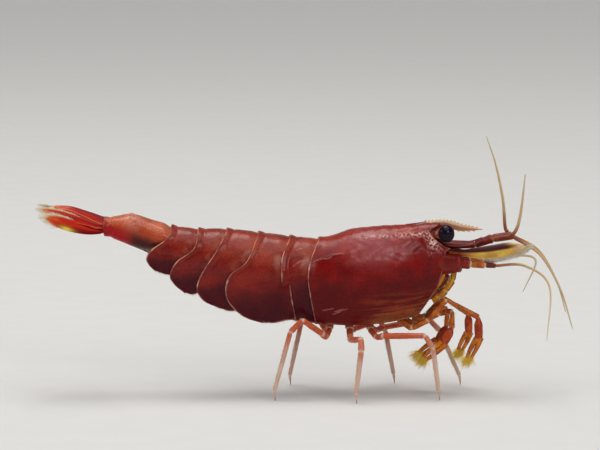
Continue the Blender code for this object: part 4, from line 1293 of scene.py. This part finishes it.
def make_lash_finish():
    """Tan, clear rings with a darker seam at each, redder near the root."""
    finish = begin_finish("lash_rings", depth=0.15, glow=0.25)
    along = drifting(mark("along"), 1.2, 0.4)
    colour = washed(dye(154, 78, 50),
                    (between(along, -0.05, 0.3), dye(204, 176, 130)),
                    (between(along, 0.6, 1.1), dye(210, 190, 160)),
                    (between(mark("part"), 0.35, 0.0, 0.0, 0.5), dye(120, 74, 44)))
    surfaced(colour, pits=12, waves=5, depth=0.01, strength=0.4)
    return finish


lash_finish = make_lash_finish()
for each_lash in LASHES:
    lash(*each_lash)

# ------------------------------------------------------------------------------- chest floor and mouth limbs
# The legs grow from a narrow floor of hard bars between the side walls of the carapace. Ahead of it the third
# pair of mouth limbs, slim and bristly, reach up in front of the jaws like a pair of small arms.

CHEST = ((0.4, 0, 5.4), (1.0, 0, 5.42), (2.2, 0, 5.32), (5.2, 0, 5.32), (6.6, 0, 5.72), (7.6, 0, 6.3),
         (8.3, 0, 6.7))
CHEST_WIDTHS = (0.3, 0.62, 0.86, 0.9, 0.66, 0.55, 0.4)
CHEST_THICK = 0.26
CHEST_BARS = (1.35, 1.27)           # x of one bar, and from one bar to the next
MOUTH_LIMB = ((7.9, 0.42, 6.05), (8.3, 0.48, 6.28), (8.75, 0.52, 6.7), (9.18, 0.55, 7.35), (9.36, 0.58, 8.0))
MOUTH_GIRTHS = ((0.22, 0.24), (0.22, 0.23), (0.21, 0.2), (0.18, 0.09))
INNER_MOUTH = (((7.6, 0.3, 6.4), (8.2, 0.3, 6.9), (8.6, 0.26, 7.5)),
               ((7.7, 0.55, 6.6), (8.3, 0.62, 7.2), (8.7, 0.6, 8.0)))
MOUTH_BRUSH = (0.45, 0.99, 260, 0.24, 0.008)  # from and to where on the limb, how many, how long and how thick


def chest_floor():
    """A flat trough with a raised bar for each pair of legs."""
    t = np.linspace(0, 1, 150)
    path, (bar, pitch) = glide(CHEST, t), CHEST_BARS
    bars = 1 + 0.16 * np.cos((path[:, 0] - bar) * 2 * np.pi / pitch)
    cast("chest_floor_bars", capped(carried(path, swell(CHEST_WIDTHS, t), CHEST_THICK * bars, 36)),
         flesh_finish, ("thorax",))


def hairs_on(name, grid, hairs, finish, lean=0.8, facing=None):
    """Hairs rooted on a limb's own surface, leaning towards its tip.

    hairs gives the shares of its length that they stand between, how many there are, and how long and how thick
    they are. facing keeps those whose root faces that way, and drops the rest.
    """
    low, high, count, length, thick = hairs
    rows, columns = grid.shape[:2]
    row = np.clip((HAIRS.uniform(low, high, count) * (rows - 1)).astype(int), 1, rows - 2)
    column = HAIRS.integers(0, columns, count)
    out = outward(grid)[row, column]
    if facing is not None:
        kept = out @ np.asarray(facing, float) > 0.35
        row, column, out = row[kept], column[kept], out[kept]
    ahead = unit(grid[row + 1].mean(1) - grid[row - 1].mean(1))
    ways = out + ahead * lean + HAIRS.normal(0, 0.12, out.shape)
    bristles(name, grid[row, column] - out * 0.01, ways, length * HAIRS.uniform(0.5, 1.0, len(row)), thick,
             np.stack((column / columns, row / rows), -1), finish)


def mouth_limb(side, word):
    """A third mouth limb with its brush, and two smaller blades behind it."""
    grid, marks = jointed(mirrored(MOUTH_LIMB, side), MOUTH_GIRTHS, 0.85, corners=24, soften=0.16)
    parts = [capped(grid, **marks)]
    t = np.linspace(0, 1, 40)
    for path in INNER_MOUTH:
        blade = carried(glide(mirrored(path, side), t), 0.15 * rounded(t, 5, 0.01), 0.09, 16, (1, 0, -0.6))
        parts.append(capped(blade, article=1.0, along=t[:, None]))
    cast(f"mouth_limb_{word}", joined(*parts), mouth_finish, (f"maxilliped_{word}",))
    hairs_on(f"mouth_brush_{word}", grid, MOUTH_BRUSH, golden_bristle_finish,
             facing=(-0.7, -0.3 * side, 0.4))


mouth_finish = make_limb_finish("mouth_limb_shell", dye(204, 140, 40), dye(184, 96, 28), dye(220, 176, 96),
                                dye(104, 8, 8), 0.22, striped=("front", 0.2, 0.65))
chest_floor()
for side, word in SIDES.items():
    mouth_limb(side, word)

# ----------------------------------------------------------------------------------------------- small claws
# The first two pairs of limbs end in small claws. A stout hand carries one fixed finger and one that opens,
# both hollowed like spoons, with a thick brush of bristles at their tips that sweeps up food.

ARM_1_ROOT = ((6.65, 0.38, 4.92), (7.4, 0.44, 4.78))
ARM_2_ROOT = ((5.8, 0.58, 4.85), (6.6, 1.06, 4.35), (7.6, 1.18, 4.9))
ARMS = (                  # pair, side, joints to the wrist, end of the hand, tip and girth of the hand
    (1, -1, (*ARM_1_ROOT, (8.3, 0.58, 5.22), (9.15, 0.76, 5.42), (9.12, 0.84, 4.35)),
     (8.55, 0.86, 3.3), (7.3, 0.86, 2.3), 0.30),
    (1, 1, (*ARM_1_ROOT, (8.2, 0.58, 5.25), (8.9, 0.86, 5.35), (8.88, 1.05, 4.2)),
     (8.3, 1.15, 3.15), (7.15, 1.12, 2.35), 0.29),
    (2, -1, (*ARM_2_ROOT, (8.75, 1.28, 6.2), (10.75, 1.48, 5.12)), (10.8, 1.5, 3.7), (10.15, 1.5, 2.45), 0.27),
    (2, 1, (*ARM_2_ROOT, (8.65, 1.42, 6.0), (10.3, 2.05, 4.85)), (10.35, 2.2, 3.5), (9.75, 2.2, 2.35), 0.26))
ARM_GIRTHS = ((0.27, 0.23), (0.19, 0.19), (0.2, 0.18), (0.13, 0.21))
TIP_SPREAD = 0.13         # how far each finger's tip stands from the claw's middle line
FINGER_BOW = 0.05
BRUSH_HAIRS = 340
CLAW_HAIR = (0.3, 0.97, 90, 0.2, 0.009)


def straight(start, end, t):
    """Places at each t from 0 to 1 on the straight line from start to end."""
    return start * (1 - t[:, None]) + end * t[:, None]


def finger(base, tip, girth, bow):
    """One finger: a flattened spike from the hand to its tip, bowed away from its fellow."""
    t = np.linspace(0, 1, 44)
    line = straight(base, tip, t) + bow * np.sin(np.pi * t)[:, None] ** 1.2
    width = girth * (1 - 0.45 * t) * np.sqrt(np.clip((1.02 - t) * 9, 0.02, 1))
    grid = carried(line, width, width * 0.95, 20)
    return capped(grid, article=5.0, along=0.8 + 0.2 * t[:, None], **faces_of(grid))


def claw_arm(pair, side, joints, hand, tip, hand_girth):
    """The arm's articles, the hand's barrel, both fingers, and the brushes."""
    joints, hand, tip = (mirrored(places, side) for places in (joints, hand, tip))
    arm, marks = jointed(joints, ARM_GIRTHS, 0.86, corners=24, soften=0.14)
    wrist, finger_way = joints[-1], unit(tip - hand)
    way = unit(hand - wrist)
    opening = unit(np.cross(way, (0, 1, 0)))
    t = np.linspace(0, 1, 60)
    barrel = (hand_girth * (0.42 + 0.58 * ease(0, 0.4, t)) * (1 - 0.12 * ease(0.6, 1, t))
              * np.sqrt(np.clip((1.02 - t) * 14, 0.05, 1)))
    palm = carried(straight(wrist - way * 0.06, hand, t), barrel * 0.72, barrel, 28)
    ends = tip + opening * np.array(((-TIP_SPREAD,), (TIP_SPREAD,)))
    fingers = [finger(hand - way * 0.1 + opening * (0.52 * hand_girth * turn), end, hand_girth * 0.74,
                      opening * (FINGER_BOW * turn)) for turn, end in zip((-1, 1), ends)]
    word = f"{pair}_{SIDES[side]}"
    cast(f"claw_arm_{word}",
         joined(capped(arm, **marks),
                capped(palm, joint=bell(t, 0, 0.06)[:, None], article=4.0, along=0.6 + 0.2 * t[:, None],
                       **faces_of(palm)), *fingers),
         claw_finish, (f"cheliped_{word}",))
    which = HAIRS.integers(0, 2, BRUSH_HAIRS)
    back = HAIRS.uniform(0, 0.35, BRUSH_HAIRS)
    roots = ends[which] - finger_way * back[:, None] + HAIRS.normal(0, 0.03, (BRUSH_HAIRS, 3))
    ways = finger_way + HAIRS.normal(0, 0.34, (BRUSH_HAIRS, 3))
    bristles(f"claw_brush_{word}", roots, ways, HAIRS.uniform(0.35, 0.9, BRUSH_HAIRS), 0.014,
             np.stack((0.25 + 0.5 * which, 1 - back), -1), golden_bristle_finish)
    hairs_on(f"claw_hair_{word}", arm, CLAW_HAIR, golden_bristle_finish)


claw_finish = make_limb_finish("claw_shell", dye(208, 112, 38), dye(118, 16, 8), dye(232, 200, 150),
                               dye(84, 4, 6), 0.46, ((4, dye(192, 78, 32)), (5, dye(218, 128, 36))),
                               striped=("edges", 0.3, 0.8))
for each_arm in ARMS:
    claw_arm(*each_arm)

# ---------------------------------------------------------------------------------------------- walking legs
# The last three pairs are plain walking legs of seven articles. They are orange near the body and paler and
# clearer to the foot, with a row of fine spines under the long shin and one dark claw to stand on.

LEGS = (                  # pair, side, x of the root, hip, knee, wrist, and x and y of the foot
    (3, -1, 3.9, (4.75, 2.05, 4.0), (7.35, 2.6, 4.1), (7.85, 2.7, 3.3), (8.22, 2.9)),
    (3, 1, 3.9, (4.8, 2.05, 3.95), (7.8, 2.9, 4.35), (8.5, 3.0, 3.6), (9.82, 3.2)),
    (4, -1, 2.6, (2.7, 2.05, 3.75), (3.3, 3.55, 4.0), (3.3, 3.9, 3.3), (2.97, 4.05)),
    (4, 1, 2.6, (2.95, 2.05, 3.85), (4.6, 3.2, 4.3), (5.0, 3.5, 3.5), (5.56, 3.7)),
    (5, -1, 1.35, (0.85, 2.0, 4.15), (-0.4, 2.6, 5.1), (-1.15, 2.75, 4.35), (-2.15, 3.0)),
    (5, 1, 1.35, (0.9, 2.0, 4.15), (0.1, 2.7, 5.0), (-0.45, 2.9, 4.2), (-1.2, 3.2)))
LEG_ROOT = (0.55, 5.1)    # y and height where every leg leaves the chest, drops and clears the shell's edge
LEG_DROP = (0.85, 4.25)
UNDER_EDGE = (1.5, 3.82)
LEG_GIRTHS = ((0.27, 0.24), (0.2, 0.18), (0.19, 0.21), (0.21, 0.18), (0.17, 0.19), (0.175, 0.13), (0.12, 0.06))
TOE_HEIGHT = 0.62
TOE_GIRTH = 0.022
SHIN_LENGTH = 2.6
SHIN_SPINES = (190, 0.17, 0.013)    # how many, how long and how thick
LEG_HAIR = (70, 0.2, 0.008)


def walking_leg(pair, side, root_x, hip, knee, wrist, foot):
    """The seven articles down to the toe, whose tip curves forward and just touches the floor."""
    tip = (foot[0] + 0.05, foot[1], TOE_GIRTH * 1.2)
    joints = mirrored(((root_x, *LEG_ROOT), (root_x, *LEG_DROP), ((root_x + hip[0]) / 2, *UNDER_EDGE),
                       hip, knee, wrist, (*foot, TOE_HEIGHT), tip), side)
    across = (1, 0, 0) if abs(knee[0] - wrist[0]) < 0.2 else (0, 1, 0)
    grid, marks = jointed(joints, LEG_GIRTHS, 0.9, across, corners=20, soften=0.11)
    length = measured(joints)[-1]
    slim = np.interp((1 - marks["along"]) * length, (0, 0.3, TOE_HEIGHT), (0.3, 0.72, 1.0))
    middle = grid.mean(1, keepdims=True)
    grid = middle + (grid - middle) * slim[..., None]
    grid[..., 2] = np.maximum(grid[..., 2], 0.0)
    name = f"leg_{pair}_{SIDES[side]}"
    cast(f"walking_{name}", capped(grid, **marks), leg_finish, (name,))
    shin_from, shin_to = 1 - (TOE_HEIGHT + SHIN_LENGTH) / length, 1 - TOE_HEIGHT / length
    hairs_on(f"shin_spines_{name}", grid, (shin_from, shin_to, *SHIN_SPINES),
             pale_bristle_finish, lean=1.1, facing=(-0.8, 0, -0.3))
    hairs_on(f"leg_hair_{name}", grid, (0.3, shin_from, *LEG_HAIR), pale_bristle_finish)


def make_leg_finish():
    """Orange flesh near the body that fades to a clear pinkish shin, dark at the toe and pale at the joints."""
    finish = begin_finish("leg_shell", glow=0.3)
    cells, torn = pigment(10, 1.6, 0.26)
    to_foot = between(drifting(mark("along"), 1.0, 0.25), 0.45, 0.8)
    near_body = 1.0 - to_foot * 0.65
    colour = washed(dye(196, 92, 54),
                    (to_foot, dye(214, 184, 164)),
                    (torn * 0.4 * near_body, dye(168, 66, 44)),
                    (cells * 0.5 * near_body, dye(134, 24, 16)),
                    (mark("joint") * 0.7, dye(228, 206, 184)),
                    (between(mark("along"), 0.965, 1.0), dye(90, 40, 20)))
    surfaced(colour, pits=7, waves=3.5, depth=0.025, strength=0.45)
    return finish


leg_finish = make_leg_finish()
for each_leg in LEGS:
    walking_leg(*each_leg)

# --------------------------------------------------------------------------------------------- swimmerets
# Under the abdomen hang five pairs of paddles. Each has a short stem and two thin leaves fringed with long
# bristles, folded back inside the side flaps while the shrimp stands.

PADDLES = (((-0.3, 0.55, 6.6), 1.4), ((-2.2, 0.55, 6.7), 1.5), ((-5.3, 0.5, 7.25), 1.0),
           ((-7.1, 0.42, 7.95), 0.72), ((-8.85, 0.33, 8.85), 0.5))
PADDLE_WAY = np.array((-0.55, 0, -1.0))
PADDLE_WIDTHS = (0.3, 0.62, 0.55, 0.12)
PADDLE_THICK = 0.07
PADDLE_FRINGE = (0.35, 0.0, 90, 0.3, 0.009)
LEAF_SHARE = 0.6          # of a paddle's length, and the stem takes the rest
LEAF_SPREADS = (-0.12, 0.16)


def swimmeret(number, side, root, length):
    """A stem and its two leaves, the outer one broader."""
    root = mirrored(root, side)
    elbow = root + PADDLE_WAY * length * (1 - LEAF_SHARE)
    t = np.linspace(0, 1, 24)
    stem = carried(straight(root, elbow, t), 0.2 - 0.04 * t, 0.14, 20, (1, 0, 0))
    parts = [capped(stem, along=0.2 * t[:, None], margin=1.0, rib=0.6)]
    for spread in LEAF_SPREADS:
        way = PADDLE_WAY * length * LEAF_SHARE + (-0.1, spread * side, 0)
        path = elbow + way * np.array(((0,), (0.33,), (0.67,), (1.0,)))
        parts.append(fin(path, PADDLE_WIDTHS, (1, 0, 0), PADDLE_THICK, 0.0, length * LEAF_SHARE,
                         rows=36, corners=28))
    word = f"{number}_{SIDES[side]}"
    cast(f"paddle_{word}", joined(*parts), paddle_finish, (f"swimmeret_{word}",))
    fringe(f"paddle_fringe_{word}", path, PADDLE_WIDTHS, (1, 0, 0), PADDLE_FRINGE,
           pale_bristle_finish)


paddle_finish = make_fin_finish("paddle_leaf", dye(130, 20, 12), dye(176, 60, 36), dye(110, 10, 8),
                                dye(226, 176, 140), dye(200, 110, 70))
for number, (root, length) in enumerate(PADDLES, start=1):
    for side in SIDES:
        swimmeret(number, side, root, length)

# ------------------------------------------------------------------------------------------ hems of the plates
# Short stiff hairs stand in a row along the free lower edges of the abdomen's side flaps, where the shell is
# thinnest. They brush the swimmerets clean and hold the eggs in.

HEM_HAIRS = 90            # on each side of a plate
HEM_HAIR = 0.16


def plate_hem(name, edge, side):
    """Hairs rooted along one lower edge of a plate, pointing down, out and a little back."""
    row = HAIRS.uniform(0.2, 0.98, HEM_HAIRS) * (len(edge) - 1)
    whole = row.astype(int)
    part = (row - whole)[:, None]
    roots = edge[whole] * (1 - part) + edge[whole + 1] * part + (0, -0.03 * side, 0.02)
    ways = (-0.35, 0.25 * side, -1.0) + HAIRS.normal(0, 0.15, (HEM_HAIRS, 3))
    patch = np.stack(np.broadcast_arrays(0.5 + 0.48 * side, row / len(edge)), -1)
    bristles(name, roots, ways, HEM_HAIR * HAIRS.uniform(0.5, 1.1, HEM_HAIRS), 0.008, patch,
             pale_bristle_finish)


for number, grid in enumerate(plates, start=1):
    plate_hem(f"plate_hem_{number}_right", grid[:, 0], -1)
    plate_hem(f"plate_hem_{number}_left", grid[:, -1], 1)

# -------------------------------------------------------------------------------------------------- studio
# A pale floor that curves up far away on every side, one large soft light above and behind the shrimp, two
# weaker ones in front and beside it, an even light from all over, and a camera at the animal's right side.

FLOOR_FLAT = 0.9          # metres from the middle to where the floor starts to rise
FLOOR_RISE = 0.5
LIGHTS = (                # name, place, size across and power in watts
    ("overhead_light", (-30, 60, 300), 150, 0.34),
    ("front_light", (120, -260, 160), 120, 0.22),
    ("side_light", (-260, -60, 140), 100, 0.08))
LIT = (0, 0, 8)
EVEN_LIGHT = (1.3, 60, 14)          # its strength, its breadth and how far it leans, in degrees
AIR_COLOUR = (0.90, 0.93, 1.0)
AIR_STRENGTH = 0.14
VIEW_MIDDLE = (-0.54, 0.0, 10.83)
VIEW_TILT = 6.7           # degrees that the camera looks down
VIEW_DISTANCE = 212.0
LENS = 200.0
SENSOR = 36.0


def studio_floor():
    """A disc whose rim turns up in a quarter circle, in rings from the middle outward."""
    turn = round_turn(96)
    flat = np.linspace(0, FLOOR_FLAT, 12)[1:]
    bend = np.linspace(0, np.pi / 2, 14)[1:]
    radius = np.concatenate((flat, FLOOR_FLAT + FLOOR_RISE * np.sin(bend)))[:, None]
    height = np.concatenate((np.zeros(len(flat)), FLOOR_RISE * (1 - np.cos(bend))))[:, None]
    rings = np.stack(np.broadcast_arrays(radius * np.cos(turn), radius * np.sin(turn), height), -1)
    around = np.arange(len(turn))
    faces = (grid_faces(len(radius), len(turn), True)[:, ::-1] + 1).tolist()
    faces += np.stack((np.zeros(len(turn), int), 1 + around, 1 + (around + 1) % len(turn)), -1).tolist()
    mesh = bpy.data.meshes.new("studio_floor")
    mesh.from_pydata(np.vstack(((0, 0, 0), rings.reshape(-1, 3))).tolist(), [], faces)
    mesh.shade_smooth()
    paper = begin_finish("pale_paper", roughness=0.8, coat=0.0, glow=0.0)
    grain = clouds(2.5, 4.0)
    plug(Bench.shader["Base Color"], mixed(grain, dye(222, 220, 216), dye(228, 226, 222)))
    relief(grain, 0.02, 0.4)
    mesh.materials.append(paper)
    stood("studio_floor", mesh)


def aimed(thing, place, target):
    """Sets a light or a camera in its place, in millimetres, and turns it so that it looks at the target."""
    thing.location = np.array(place) * MM
    thing.rotation_mode = "QUATERNION"
    thing.rotation_quaternion = (Vector(target) * MM - thing.location).to_track_quat("-Z", "Y")


studio_floor()
for name, place, size, power in LIGHTS:
    light = bpy.data.lights.new(name, "AREA")
    light.shape = "SQUARE"
    light.size = size * MM
    light.energy = power
    aimed(stood(name, light), place, LIT)
even = bpy.data.lights.new("even_light", "SUN")
even.energy, breadth, lean = EVEN_LIGHT
even.angle = math.radians(breadth)
stood("even_light", even).rotation_euler = (math.radians(lean), 0, 0)
air = bpy.data.worlds.new("studio_air")
air.use_nodes = True
air.node_tree.nodes["Background"].inputs["Color"].default_value = (*AIR_COLOUR, 1)
air.node_tree.nodes["Background"].inputs["Strength"].default_value = AIR_STRENGTH
bpy.context.scene.world = air
bpy.context.scene.view_settings.view_transform = "Standard"

lens = bpy.data.cameras.new("camera")
lens.lens = LENS
lens.sensor_width = SENSOR
lens.clip_start = 0.001
tilt = math.radians(VIEW_TILT)
back_off = np.array((0, -math.cos(tilt), math.sin(tilt))) * VIEW_DISTANCE
bpy.context.scene.camera = stood("camera", lens)
aimed(bpy.context.scene.camera, VIEW_MIDDLE + back_off, VIEW_MIDDLE)
